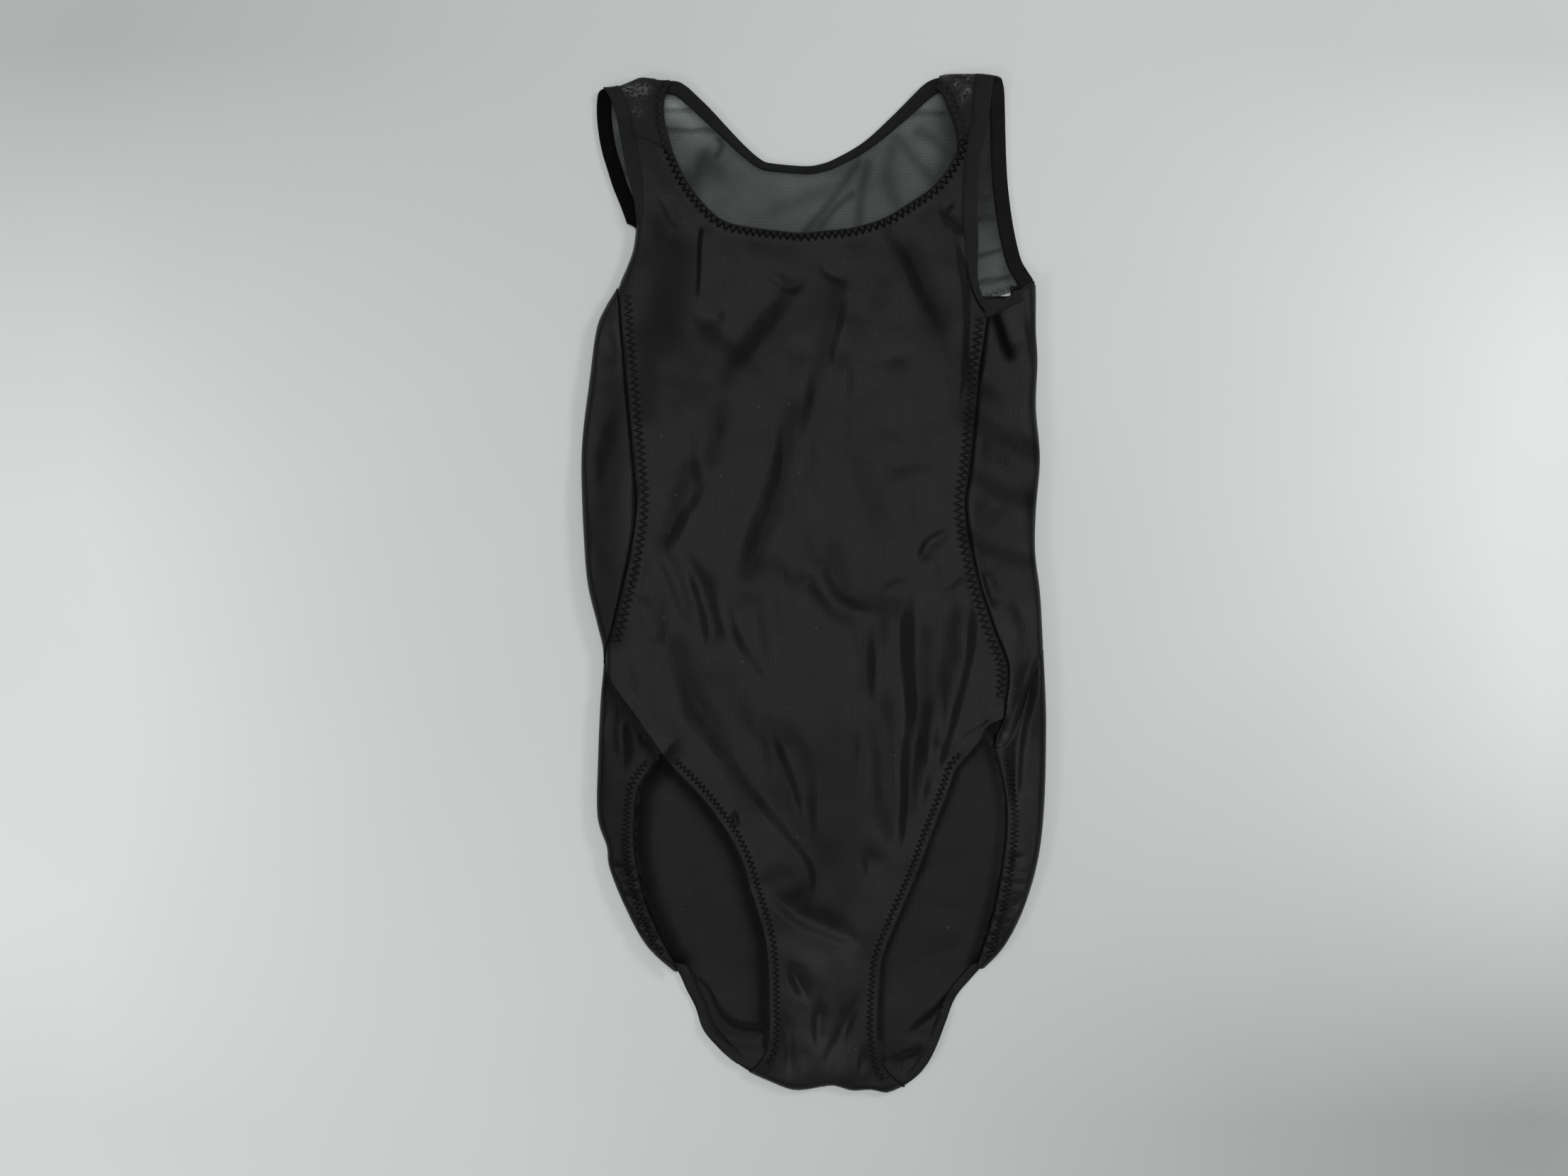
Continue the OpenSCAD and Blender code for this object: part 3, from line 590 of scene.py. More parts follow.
def thread(points, radius):
    """Short tubes from point to point, each arched a little, as one stitch after another."""
    grids = []
    angles = np.linspace(0, 2 * math.pi, 6, endpoint=False)
    t = np.array([0.0, 0.12, 0.5, 0.88, 1.0])
    rise = np.array([-0.35, 0.25, 1.0, 0.25, -0.35]) * 0.25
    girth = np.array([0.5, 1.0, 1.1, 1.0, 0.5]) * radius
    for a, b in zip(points[:-1], points[1:]):
        d = b - a
        length = np.linalg.norm(d)
        d = d / length
        side = np.cross(d, [0, 0, 1.0])
        side /= np.linalg.norm(side)
        up = np.cross(side, d)
        centre = a + np.outer(t * length, d) + np.outer(rise, [0, 0, 1.0])
        grids.append(centre[:, None] + girth[:, None, None] * (
            np.cos(angles)[None, :, None] * side + np.sin(angles)[None, :, None] * up))
    return grids


def whole_pitch(line, pitch):
    """The pitch nearest to the given one that fits the line a whole number of times."""
    length = np.hypot(*np.diff(line, axis=0).T).sum()
    return length / max(1, round(length / pitch))


def zigzag(line, side, near, far, pitch, height, lift):
    """Points of a zigzag stitch that swings between two distances from a line."""
    length = np.hypot(*np.diff(line, axis=0).T).sum()
    path = evenly(line, n=2 * int(round(length / whole_pitch(line, pitch))) + 1)
    w = np.where(np.arange(len(path)) % 2 == 0, near, far)
    plan = path + left_of(path) * (w * side)[:, None]
    return np.column_stack([plan, height(plan) + lift])


def sewn(name, runs, material, radius=0.14):
    bundle = Bundle()
    for run in runs:
        for grid in thread(run, radius):
            bundle.add(grid)
    return bundle.piece(name, material)


# ---- Materials -----------------------------------------------------------------------------------

class Nodes:
    """Small helper that keeps the building of a node material readable."""

    def __init__(self, name):
        self.material = bpy.data.materials.new(name)
        self.material.use_nodes = True
        self.tree = self.material.node_tree
        self.tree.nodes.clear()
        self.out = self.tree.nodes.new("ShaderNodeOutputMaterial")
        self.place = self.make("ShaderNodeTexCoord").outputs["Object"]

    def make(self, kind, inputs=None, **props):
        node = self.tree.nodes.new(kind)
        for key, value in props.items():
            setattr(node, key, value)
        for key, value in (inputs or {}).items():
            self.feed(node.inputs[key], value)
        return node

    def feed(self, socket, value):
        if isinstance(value, bpy.types.NodeSocket):
            self.tree.links.new(value, socket)
        else:
            socket.default_value = value

    def math(self, op, a, b=0.0, clamp=False):
        node = self.make("ShaderNodeMath", {0: a, 1: b}, operation=op)
        node.use_clamp = clamp
        return node.outputs[0]

    def times(self, a, b, clamp=False):
        return self.math("MULTIPLY", a, b, clamp)

    def plus(self, a, b, clamp=False):
        return self.math("ADD", a, b, clamp)

    def minus(self, a, b, clamp=False):
        return self.math("SUBTRACT", a, b, clamp)

    def mark(self, name):
        return self.make("ShaderNodeAttribute", attribute_name=name).outputs["Fac"]

    def noise(self, scale, detail=2.0, stretch=(1, 1, 1), roughness=0.5):
        at = self.make("ShaderNodeMapping", {"Vector": self.place, "Scale": stretch}).outputs[0]
        return self.make("ShaderNodeTexNoise", {"Vector": at, "Scale": scale, "Detail": detail,
                                                "Roughness": roughness}).outputs["Fac"]

    def ramp(self, value, low, high, a=0.0, b=1.0):
        return self.make("ShaderNodeMapRange", {"Value": value, "From Min": low, "From Max": high,
                                                "To Min": a, "To Max": b}).outputs[0]

    def mix(self, factor, a, b):
        node = self.make("ShaderNodeMix", data_type="RGBA")
        self.feed(node.inputs[0], factor)
        self.feed(node.inputs[6], a)
        self.feed(node.inputs[7], b)
        return node.outputs[2]

    def wave(self, scale, turn=0.0, distortion=0.0):
        turned = {"Vector": self.place, "Rotation": (0, 0, turn)}
        at = self.make("ShaderNodeMapping", turned).outputs[0]
        return self.make("ShaderNodeTexWave", {"Vector": at, "Scale": scale,
                                               "Distortion": distortion}).outputs["Fac"]

    def bump(self, height, distance, strength=1.0, normal=None):
        inputs = {"Height": height, "Distance": distance, "Strength": strength}
        if normal is not None:
            inputs["Normal"] = normal
        return self.make("ShaderNodeBump", inputs).outputs[0]

    def surface(self, colour, roughness, specular, **more):
        inputs = {"Base Color": colour, "Roughness": roughness, "Specular IOR Level": specular}
        inputs.update((key.replace("_", " ").title(), value) for key, value in more.items())
        return self.make("ShaderNodeBsdfPrincipled", inputs).outputs[0]

    def finish(self, shader):
        self.tree.links.new(shader, self.out.inputs["Surface"])
        return self.material


def grey(level, tint=0.0):
    return (level * (0.95 - tint), level, level * (0.965 + tint * 0.5), 1.0)


def bands(pitch):
    """Scale that makes a wave texture repeat at a pitch in millimetres."""
    return 0.31416 / (pitch * MM)


def stitch_groove(n):
    """1 in the zigzag path that a row of stitches presses into the cloth, 0 beside it."""
    swing = n.math("PINGPONG", n.mark("zig_u"), 0.5)
    off = n.math("ABSOLUTE", n.minus(n.mark("zig_w"), n.times(swing, 2.0)))
    return n.times(n.ramp(off, 0.08, 0.34, 1.0, 0.0), n.mark("zig_on"))


def knit_material(name, level, shine, rough=0.38, groove=0.0011):
    """Warp-knit cloth: fine upright ribs, blotches of sheen, painted shade and sheen, lint, grooves
    under stitches with painted shade in them.
    """
    n = Nodes(name)
    blotch = n.noise(28.0, 3.0)
    grain = n.noise(900.0, 2.0, (1, 0.35, 1))
    fuzz = n.noise(2600.0, 2.0)
    ribs = n.wave(bands(0.52), 0.0, 0.6)
    rows = n.wave(bands(0.8), math.pi / 2, 0.6)
    wear = n.ramp(n.noise(9.0, 2.0), 0.42, 0.75)
    lint = n.ramp(n.noise(420.0, 1.0), 0.795, 0.82)
    colour = n.mix(n.ramp(blotch, 0.3, 0.7), grey(level * 0.86, 0.012), grey(level * 1.12, -0.004))
    colour = n.mix(n.times(n.ramp(grain, 0.4, 0.75), 0.32), colour, grey(level * 1.9))
    colour = n.mix(n.times(wear, 0.16), colour, grey(level * 1.7, -0.02))
    colour = n.mix(n.times(lint, 0.5), colour, grey(0.12))
    dent_and_painted_shade = stitch_groove(n)
    # Painted shade: darker and less glossy where the painted shade mark is positive, glossier where
    # it is negative.
    painted_gloss = n.minus(1.0, n.mark("nap"))
    colour = n.mix(n.times(n.mark("nap"), 0.6, True), colour, grey(level * 0.4))
    # Painted shade in the groove that each row of stitches presses in.
    colour = n.mix(n.times(dent_and_painted_shade, 0.7, True), colour, grey(level * 0.25))
    weave = n.bump(n.plus(ribs, n.times(rows, 0.5)), 0.00008, 0.5)
    weave = n.bump(fuzz, 0.00010, 0.35, weave)
    weave = n.bump(n.times(dent_and_painted_shade, -1.0), groove, 0.9, weave)
    roughness = n.ramp(n.noise(60.0, 3.0), 0.3, 0.7, rough - 0.03, rough + 0.05)
    gloss = n.times(n.minus(1.0, dent_and_painted_shade), n.times(painted_gloss, shine))
    return n.finish(n.surface(colour, roughness, gloss, normal=weave, sheen_weight=0.015,
                              sheen_roughness=0.4, sheen_tint=(0.75, 0.77, 0.8, 1.0)))


def net_material(name, cell, cover, level):
    """Stretch net: threads of a small open mesh, denser where it is doubled or creased, with painted
    light and shade in its cover and painted glints on the straps.
    """
    n = Nodes(name)
    a = n.wave(bands(cell), math.radians(32), 0.4)
    b = n.wave(bands(cell), math.radians(-32), 0.4)
    threads = n.math("MAXIMUM", n.ramp(a, 0.45, 0.8), n.ramp(b, 0.45, 0.8))
    uneven = n.ramp(n.noise(22.0, 3.0), 0.3, 0.75, -0.06, 0.06)
    solid = n.plus(n.times(threads, 0.30), cover - 0.15)
    # Painted light and shade: the mark adds cover in creases and where the net lies in shade, and
    # takes it away where the net is lit.
    solid = n.plus(n.plus(solid, uneven), n.mark("crease"), True)
    patchy = n.ramp(n.noise(300.0, 2.0), 0.35, 0.7)
    colour = n.mix(patchy, grey(level * 0.75, 0.02), grey(level * 1.3))
    # Painted glints: pale specks where light shows through the doubled strap net.
    worn = n.times(n.mark("worn"), n.ramp(n.noise(650.0, 2.0), 0.40, 0.66), True)
    colour = n.mix(worn, colour, grey(0.16))
    cloth = n.surface(colour, n.ramp(n.noise(700.0), 0.3, 0.7, 0.55, 0.68), 0.25,
                      sheen_weight=0.03, sheen_roughness=0.5, normal=n.bump(threads, 0.00015, 0.6))
    clear = n.make("ShaderNodeBsdfTransparent", {"Color": (0.93, 0.95, 0.94, 1)})
    both = n.make("ShaderNodeMixShader", {0: solid, 1: clear.outputs[0], 2: cloth})
    return n.finish(both.outputs[0])


def tape_material(name, level, rough=0.6, shine=0.15):
    """Narrow knitted tape of the bound edges and hems, a little fuzzy, worn along its fold, darkened
    with painted shade where marked.
    """
    n = Nodes(name)
    fine = n.noise(1500.0, 3.0)
    ribs = n.wave(bands(0.9), math.radians(40), 1.5)
    worn = n.times(n.mark("fold"), n.ramp(n.noise(240.0, 2.0), 0.35, 0.7), True)
    painted_shade = n.mark("nap")
    colour = n.mix(n.ramp(n.noise(70.0, 3.0), 0.3, 0.7), grey(level * 0.8), grey(level * 1.2))
    colour = n.mix(n.times(n.ramp(fine, 0.45, 0.8), 0.35), colour, grey(level * 2.2))
    colour = n.mix(n.times(worn, 0.35), colour, grey(level * 2.2))
    # Painted shade: the tape goes darker and duller where its painted shade mark is set.
    colour = n.mix(painted_shade, colour, grey(level * 0.15))
    normal = n.bump(n.plus(fine, n.times(ribs, 0.5)), 0.00016, 0.5)
    return n.finish(n.surface(colour, n.ramp(fine, 0.3, 0.7, rough, rough + 0.15),
                              n.times(n.minus(1.0, painted_shade), shine),
                              sheen_weight=0.01, sheen_roughness=0.5, normal=normal))


def thread_material(name, level):
    """Twisted sewing thread."""
    n = Nodes(name)
    twist = n.wave(bands(0.5), math.radians(30), 0.5)
    colour = n.mix(n.ramp(twist, 0.3, 0.8), grey(level * 0.6), grey(level * 1.5))
    return n.finish(n.surface(colour, n.ramp(n.noise(800.0), 0.3, 0.7, 0.5, 0.65), 0.12,
                              normal=n.bump(twist, 0.00008, 0.6)))


def table_material(name):
    """Pale board with painted light and shade: brighter in two opposite corners of the view, darker
    in the other two, and even farther out.
    """
    n = Nodes(name)
    place = n.make("ShaderNodeSeparateXYZ", {0: n.place}).outputs
    x = n.ramp(place[0], -0.46, 0.46, -1.0, 1.0)
    y = n.ramp(place[1], -0.34, 0.34, -1.0, 1.0)
    cross = n.times(x, y)
    ends = n.times(n.times(x, x), 0.5)
    corners = n.times(n.times(cross, cross), 0.6)
    tilt = n.times(n.times(cross, y), 0.16)
    # Painted light and shade across the board.
    level = n.plus(n.times(cross, 0.21), 0.53)
    level = n.minus(n.plus(level, ends), n.plus(corners, tilt), True)
    far = n.make("ShaderNodeVectorMath", {0: n.place}, operation="LENGTH").outputs["Value"]
    far = n.ramp(far, 0.56, 1.1)
    level = n.times(level, n.minus(1.0, far))
    level = n.plus(level, n.times(far, 0.8))
    level = n.plus(level, n.ramp(n.noise(3.0, 3.0), 0.3, 0.7, -0.03, 0.03), True)
    colour = n.mix(level, (0.29, 0.295, 0.295, 1), (0.70, 0.71, 0.705, 1))
    return n.finish(n.surface(colour, n.ramp(n.noise(40.0, 4.0), 0.3, 0.7, 0.42, 0.48), 0.2))


KNIT = knit_material("front_knit", 0.0034, 0.212)
SIDE_KNIT = knit_material("side_knit", 0.0034, 0.24)
BACK_KNIT = knit_material("back_knit", 0.0028, 0.18)
LINING_KNIT = knit_material("lining_knit", 0.012, 0.2, rough=0.7)
NET_CLOTH = net_material("back_net", 0.95, 0.38, 0.012)
STRAP_NET = net_material("strap_net", 0.9, 1.0, 0.0034)
TAPE_FRONT = tape_material("front_tape", 0.0072, shine=0.14)
TAPE_BACK = tape_material("back_tape", 0.0060, rough=0.7)
HEM_TAPE = tape_material("hem_cloth", 0.0060, rough=0.5)
DARK_THREAD = thread_material("hem_thread", 0.0034)
THREAD = thread_material("thread", 0.0085)


# ---- Stitch rows: line, side, nearest and farthest swing, pitch, how deep they press in ----------

STITCHES = {
    "neck": (SCOOP, -1, 1.4, 5.0, HEM_PITCH, 1.0),
    "leg_l": (within(LEG_L, -302, -112), 1, 3.0, 6.2, 3.4, 0.5),
    "leg_r": (within(LEG_R, -310, -108), -1, 3.0, 6.2, 3.4, 0.5),
    "hip_l": (within(HIP_L, -236, -112), -1, 3.0, 6.5, 3.0, 0.55),
    "hip_r": (within(HIP_R, -236, -108), 1, 3.0, 6.5, 3.0, 0.55),
    "princess_l": (within(PRINCESS_L, -36, 182), 1, 3.6, 8.2, SEAM_PITCH, 0.24),
    "princess_r": (within(PRINCESS_R, -74, 168), -1, 2.4, 7.4, SEAM_PITCH, 0.24),
}


def stitch_marks(grid, keys):
    """Where each point lies in the stitch row next to it: across the row, along it, how strongly the
    row presses in there, and the painted shade and sheen at each point."""
    pts = flat(grid)
    across, along, near_row = np.full(len(pts), 3.0), np.zeros(len(pts)), np.zeros(len(pts))
    for line, side, near, far, pitch, weight in (STITCHES[k] for k in keys):
        d, run, length = nearest(line, pts)
        t = (d * side - near) / (far - near)
        here = (t > -2.6) & (t < 3.6) & (run > 0.3) & (run < length - 0.3)
        across[here] = t[here]
        along[here] = (run / whole_pitch(line, pitch))[here]
        near_row[here & (t > -1.05) & (t < 2.05)] = weight
    return {"zig_w": across, "zig_u": along, "zig_on": near_row, "nap": nap(pts)}


# Painted shade (positive strength) and painted sheen (negative strength) on the knit: line, reach,
# side, strength
PAINTED_SHADE_AND_SHEEN = [
    # left chest, the long slanting streak of the middle, and below it
    ([[-71, 222], [-72.5, 204], [-73.5, 182]], 1.6, 0, 0.6),
    ([[-98, 226], [-93, 206]], 7, 0, 0.4),
    ([[-88, 208], [-91, 176], [-99, 152]], 14, 0, 0.5),
    ([[-103, 150], [-107, 106]], 8, 0, 0.4),
    ([[16, 186], [4, 140], [-8, 100]], 5, 0, 0.3),
    ([[-12, 108], [-17, 92], [-26, 50], [-42, 8]], 7, 0, 0.4),
    ([[-57, 110], [-64, 78]], 6, 0, 0.35),
    ([[-79, 74], [-94, 24]], 5, 0, 0.35),
    ([[-14, 186], [-36, 158], [-54, 130]], 7, 0, 0.3),
    ([[60, 207], [78, 165]], 9, 0, 0.4),
    ([[30, 70], [44, 30]], 8, 0, 0.15),
    ([[12, 22], [20, -8], [40, -14]], 6, 0, 0.25),
    # belly and the folds that run down to the crotch
    ([[-86, -38], [-80, -62], [-68, -84]], 7, 0, 0.35),
    ([[-64, -84], [-54, -112], [-36, -136]], 6, 0, 0.35),
    ([[-30, -86], [-10, -134]], 5, 0, 0.25),
    ([[70, -30], [68, -90], [60, -140]], 5, 0, 0.3),
    ([[12, -110], [2, -196]], 24, 0, 0.2),
    ([[-30, -210], [10, -228]], 7, 0, 0.2),
    ([[6, -236], [3, -300]], 24, 0, -0.35),
    # side panels and hips
    ([[113, 168], [117.5, 156], [122, 143]], 4.6, 0, 0.95),
    ([[98, 104], [112, 94], [138, 82]], 8, 0, 0.5),
    ([[104, 66], [118, 56], [134, 52]], 7, 0, 0.5),
    ([[96, 30], [112, 20], [134, 14]], 6, 0, 0.45),
    ([[104, 140], [116, 60], [112, 0]], 16, 0, 0.2),
    ([[-125, 120], [-131, 40], [-128, -30]], 11, 0, 0.45),
    ([[-128, -110], [-124, -215]], 14, 0, 0.2),
    ([[128, -100], [129, -210]], 14, 0, -0.4),
    # the back layer in the shade of the leg openings' edges
    (HIP_L / SCALE, 10, 1, 0.75), (LEG_L[:-20] / SCALE, 10, -1, 0.6),
    (HIP_R / SCALE, 6, -1, 0.6), (LEG_R[:-20] / SCALE, 5, 1, 0.5),
]


def nap(pts):
    """How much painted shade darkens the cloth at each point: the darkest patch counts, painted sheen
    (negative strengths) adds.
    """
    dark, pale = np.zeros(len(pts)), np.zeros(len(pts))
    for line, reach, side, strength in PAINTED_SHADE_AND_SHEEN:
        d, _, _ = nearest(evenly(np.array(line) * SCALE, step=3.0), pts)
        here = np.exp(-np.abs(d / reach) ** 3) * ((d * side > 0) if side else 1.0)
        if strength > 0:
            dark = np.maximum(dark, strength * here)
        else:
            pale += strength * here
    return dark + pale


# ---- The pieces ----------------------------------------------------------------------------------

def seam_relief(pts):
    """The front rises into a low band beside each seam and hem and dips into the seam itself."""
    out = np.zeros(len(pts))
    for line, side, wide in ((PRINCESS_L, 1, 11.0), (PRINCESS_R, -1, 10.0), (BACK_SEAM_R, -1, 6.0)):
        d, run, length = nearest(line[::2], pts)
        fade = smooth(run / 10) * smooth((length - run) / 10)
        band = smooth(d * side / 2.2) * smooth((wide - d * side) / 2.5)
        out += (0.45 * band - 0.3 * np.exp(-(d / 1.1) ** 2)) * fade
    for line, side, rise in ((SCOOP, -1, 0.35), (LEG_L, 1, 0.2), (LEG_R, -1, 0.2), (HIP_L, -1, 0.25),
                             (HIP_R, 1, 0.25)):
        d, run, length = nearest(line[::2], pts)
        d = d * side
        out += rise * smooth((d + 1) / 1.5) * smooth((7.8 - d) / 1.8) * (np.abs(d) < 12)
    return out


def front_face(pts):
    return front_z(pts) + seam_relief(pts) * smooth(fold_distance(pts) / ROUND)


def front_centre_panel():
    scoop = SCOOP[(SCOOP[:, 1] < 267 * KY) | ((SCOOP[:, 0] > 0) & (SCOOP[:, 1] < 279 * KY))]
    top = evenly(np.vstack([STRAP_L_LOW, scoop, np.array([[101.5, 279.5]]) * SCALE]), n=FRONT_COLS)
    left_line = np.vstack([top[:1], moved(within(ARM_L_FRONT, 234, 278), 4.0),
                           within(SIDE_L, 187, 228), within(PRINCESS_L, -500, 184), LEG_L])
    right_line = np.vstack([top[-1:], moved(within(ARM_R_FRONT, 176, 276), -4.0),
                            within(PRINCESS_R, -500, 168), LEG_R])
    v = np.linspace(0, 1, int((top[0, 1] - LEG_L[-1, 1]) / ROW) + 12)
    left, right = at(left_line[::-1], v), at(right_line[::-1], v)
    bottom = np.vstack([left[:1], at(CROTCH_FOLD, np.linspace(0, 1, FRONT_COLS)[1:-1]), right[:1]])
    grid = lifted(patch(bottom, top, left, right), front_face)
    marks = stitch_marks(grid, ("neck", "leg_l", "leg_r", "princess_l", "princess_r"))
    return Cloth().add(grid, CLOTH, **marks).piece("front_centre_panel", KNIT)


def edge_steps(width, n):
    """Distances in from a fold: close together round the fold, then even."""
    bend = ROUND * (1 - np.cos(np.linspace(0, math.pi / 2, 7)))
    part = np.minimum(1, width / (1.3 * ROUND))[:, None]
    even = ROUND * part + (width[:, None] - ROUND * part) * np.linspace(0, 1, n)[None, 1:]
    return np.hstack([bend[None, :] * part, even])


def wrap_grid(y, outer, inner, height, n=14):
    """Rows from a side fold inwards. outer and inner are x at each y."""
    sign = np.sign(np.median(inner - outer))
    d = edge_steps(np.maximum((inner - outer) * sign, 0.05), n)
    plan = np.dstack([outer[:, None] + sign * d, np.broadcast_to(y[:, None], d.shape)])
    return lifted(plan, height)


def side_panel(name, fold_line, seam, flange, lo, hi, low_fold=None, low_end=None):
    """Side panel: front part up to the princess seam, and a flange that reaches onto the back."""
    y = np.arange(lo, hi + 0.1, ROW) * KY
    outer = x_at(fold_line, y)
    sign = np.sign(np.median(x_at(seam, y) - outer))
    front_y, front_outer = y, outer
    if low_fold is not None:
        low_y = np.arange(low_end, lo - 0.1, ROW) * KY
        front_y = np.concatenate([low_y, y])
        front_outer = np.concatenate([x_at(low_fold, low_y), outer])
    grid = wrap_grid(front_y, front_outer, x_at(seam, front_y) - 0.2 * sign, front_face)
    cloth = Cloth().add(grid, CLOTH, up=-sign, **stitch_marks(grid, ()))
    reach = ROUND + 0.6 + (flange - ROUND) * smooth((y / KY - lo) / 70)
    back = wrap_grid(y, outer, outer + sign * reach, back_z, 5)
    cloth.add(back, CLOTH, up=sign, **stitch_marks(back, ()))
    return cloth.piece(name, SIDE_KNIT, merge=MERGE)


def side_panels():
    right_seam = np.vstack([within(moved(ARM_R_UNDER, -2.2), 173, 190), PRINCESS_R,
                            np.array([[117, -88.5], [113.6, -95], [112.4, -103.5]]) * SCALE])
    return (side_panel("side_panel_left", SIDE_L, PRINCESS_L, 14, -50, 186),
            side_panel("side_panel_right", SIDE_R, right_seam, 14, -38, 188, BACK_SEAM_R, -102.5))


def tucked(line, depth=2.4, reach=9.0):
    """Front height that drops where the cloth runs in under the edge of the front panel."""
    def height(pts):
        d, _, _ = nearest(line, pts)
        return front_face(pts) - depth * smooth((d + reach) / reach)
    return height


def back_panel():
    cloth = Cloth()
    y = np.arange(-318, 184, ROW) * KY
    inset_l = (ROUND + 0.9 + 9 * smooth((y / KY + 50) / 70)) * (y / KY > -50)
    inset_r = (ROUND + 0.9 + 9 * smooth((y / KY + 38) / 70)) * (y / KY > -38)
    left = x_at(np.vstack([SIDE_L, LOW_L]), y) + inset_l
    right = x_at(np.vstack([SIDE_R, LOW_R]), y) - inset_r
    steps = edge_steps((right - left) / 2, 62)
    x = np.hstack([left[:, None] + steps, (right[:, None] - steps[:, ::-1])[:, 1:]])
    low = np.interp(x, CROTCH_FOLD[:, 0], CROTCH_FOLD[:, 1]) - y[0]
    y_all = y[:, None] + low * np.clip(1 - (y - y[0]) / 16, 0, 1)[:, None]
    grid = lifted(np.dstack([x, y_all]), back_z)
    cloth.add(grid, CLOTH, **stitch_marks(grid, ()))
    y = np.arange(-243, -46, ROW) * KY
    inner = np.where(y > -104 * KY, x_at(LEG_L, y) + 5, x_at(HIP_L, y))
    hip = wrap_grid(y, x_at(SIDE_L, y), inner, tucked(LEG_L), 18)
    cloth.add(hip, CLOTH, up=-1, **stitch_marks(hip, ("hip_l",)))
    y = np.arange(-241, -39, ROW) * KY
    inner = np.where(y > -102 * KY, x_at(BACK_SEAM_R, y), x_at(HIP_R, y))
    hip = wrap_grid(y, x_at(SIDE_R, y), inner, front_face, 18)
    cloth.add(hip, CLOTH, up=1, **stitch_marks(hip, ("hip_r",)))
    return cloth.piece("back_panel", BACK_KNIT, merge=MERGE)


# Creases of the net: points, height, width
NET_CREASES = [
    ([[-96, 299], [-84, 299.5], [-72, 299]], 1.2, 1.1),
    ([[-94, 287.5], [-78, 286.5], [-68, 287], [-58, 285]], 1.5, 1.2),
    ([[60, 296], [68, 298], [82, 297]], 1.0, 1.2),
    ([[-60, 281], [-58, 276], [-62, 270]], 0.9, 1.6),
    ([[-68, 272], [-72, 258], [-75, 246]], 1.6, 4.0),
    ([[-6, 222], [8, 238], [18, 252], [28, 266]], 1.6, 2.4),
    ([[4, 226], [14, 238], [24, 246]], 0.8, 2.2),
    ([[28, 228], [30, 246], [34, 266]], 1.2, 2.6),
    ([[52, 240], [46, 258], [50, 276]], 0.9, 4.0),
    ([[74, 256], [62, 270], [52, 282]], 1.4, 3.0),
    ([[86, 270], [76, 280], [66, 286]], 0.8, 3.0),
    ([[-24, 236], [0, 246], [16, 250]], 0.7, 5.0),
    ([[103, 257], [108, 259], [112, 262]], 0.9, 1.0),
    ([[102, 243], [107, 245], [112, 243]], 0.9, 1.2),
    ([[102, 229], [108, 232], [114, 230]], 0.9, 1.2),
    ([[102, 207], [110, 209], [118, 211]], 1.0, 1.2),
    ([[103, 190], [112, 192], [124, 194]], 0.9, 1.3),
    ([[-126, 262], [-122, 260], [-118, 259]], 0.7, 1.2),
]
# Painted light and shade on the net as a change of its cover, denser where it lies in shade and
# thinner where lit: x, y, reach, change of cover
NET_PAINTED_LIGHT = [(-88, 302, 10, -0.27), (-76, 290, 9, -0.14), (-66, 279, 7, -0.05), (75, 303, 9, -0.12),
             (-70, 268, 6, 0.10), (-62, 262, 7, 0.10), (-80, 256, 8, 0.14), (106, 290, 20, 0.42),
             (107, 258, 14, 0.26), (107, 236, 10, 0.14), (114, 202, 8, -0.03),
             (-125.5, 290, 6, -0.10), (10, 268, 10, 0.05), (82, 262, 9, 0.10)]


def net_z(pts):
    z = 1.5 + 1.0 * sway(pts, 0.7)
    for line, height, width in NET_CREASES:
        z += height * np.exp(-(nearest(curve(line, 4.0), pts)[0] / width) ** 2)
    return np.maximum(z, 0.9)


def spot(pts, x, y, reach):
    """1 at a place and 0 far from it."""
    return np.exp(-(((pts - np.array([x, y]) * SCALE) / reach) ** 2).sum(axis=1))


def net_crease_and_painted_light(pts):
    """Change of the net's cover at each point: more in a crease, plus painted light and shade, denser
    in shade and thinner where lit.
    """
    out = np.zeros(len(pts))
    for line, height, width in NET_CREASES:
        d, _, _ = nearest(curve(line, 4.0), pts)
        out = np.maximum(out, 0.22 * np.exp(-(d / width) ** 2) * min(1.0, 1.4 / width))
    for x, y, reach, change in NET_PAINTED_LIGHT:
        out += change * spot(pts, x, y, reach)
    return out


def back_net():
    inner = moved(NECK, -4.0)
    top = evenly(np.vstack([[[-127, 309.5]], [[-110, 314.5]], inner[2:-2] / SCALE,
                            [[100, 315.5]], [[113, 315.5]]]) * SCALE, n=NET_COLS)
    v = np.linspace(0, 1, NET_ROWS)
    left_line = moved(within(ARM_L_BACK, 196, 309), 4.0)
    right_line = np.vstack([moved(within(ARM_R_BACK, 198, 315), -4.0),
                            np.array([[134, 188]]) * SCALE])
    seam = YOKE[(YOKE[:, 0] > -112 * KX) & (YOKE[:, 0] < 126 * KX)]
    bottom = evenly(np.vstack([left_line[-1:], seam, right_line[-1:]]), n=NET_COLS)
    y_left = bottom[0, 1] + v * (top[0, 1] - bottom[0, 1])
    y_right = bottom[-1, 1] + v * (top[-1, 1] - bottom[-1, 1])
    left = np.column_stack([x_at(left_line, y_left), y_left])
    right = np.column_stack([x_at(right_line, y_right), y_right])
    left[0], left[-1], right[0], right[-1] = bottom[0], top[0], bottom[-1], top[-1]
    grid = lifted(patch(bottom, top, left, right), net_z)
    return Cloth().add(grid, NET, crease=net_crease_and_painted_light(flat(grid))).piece("back_net", NET_CLOTH)


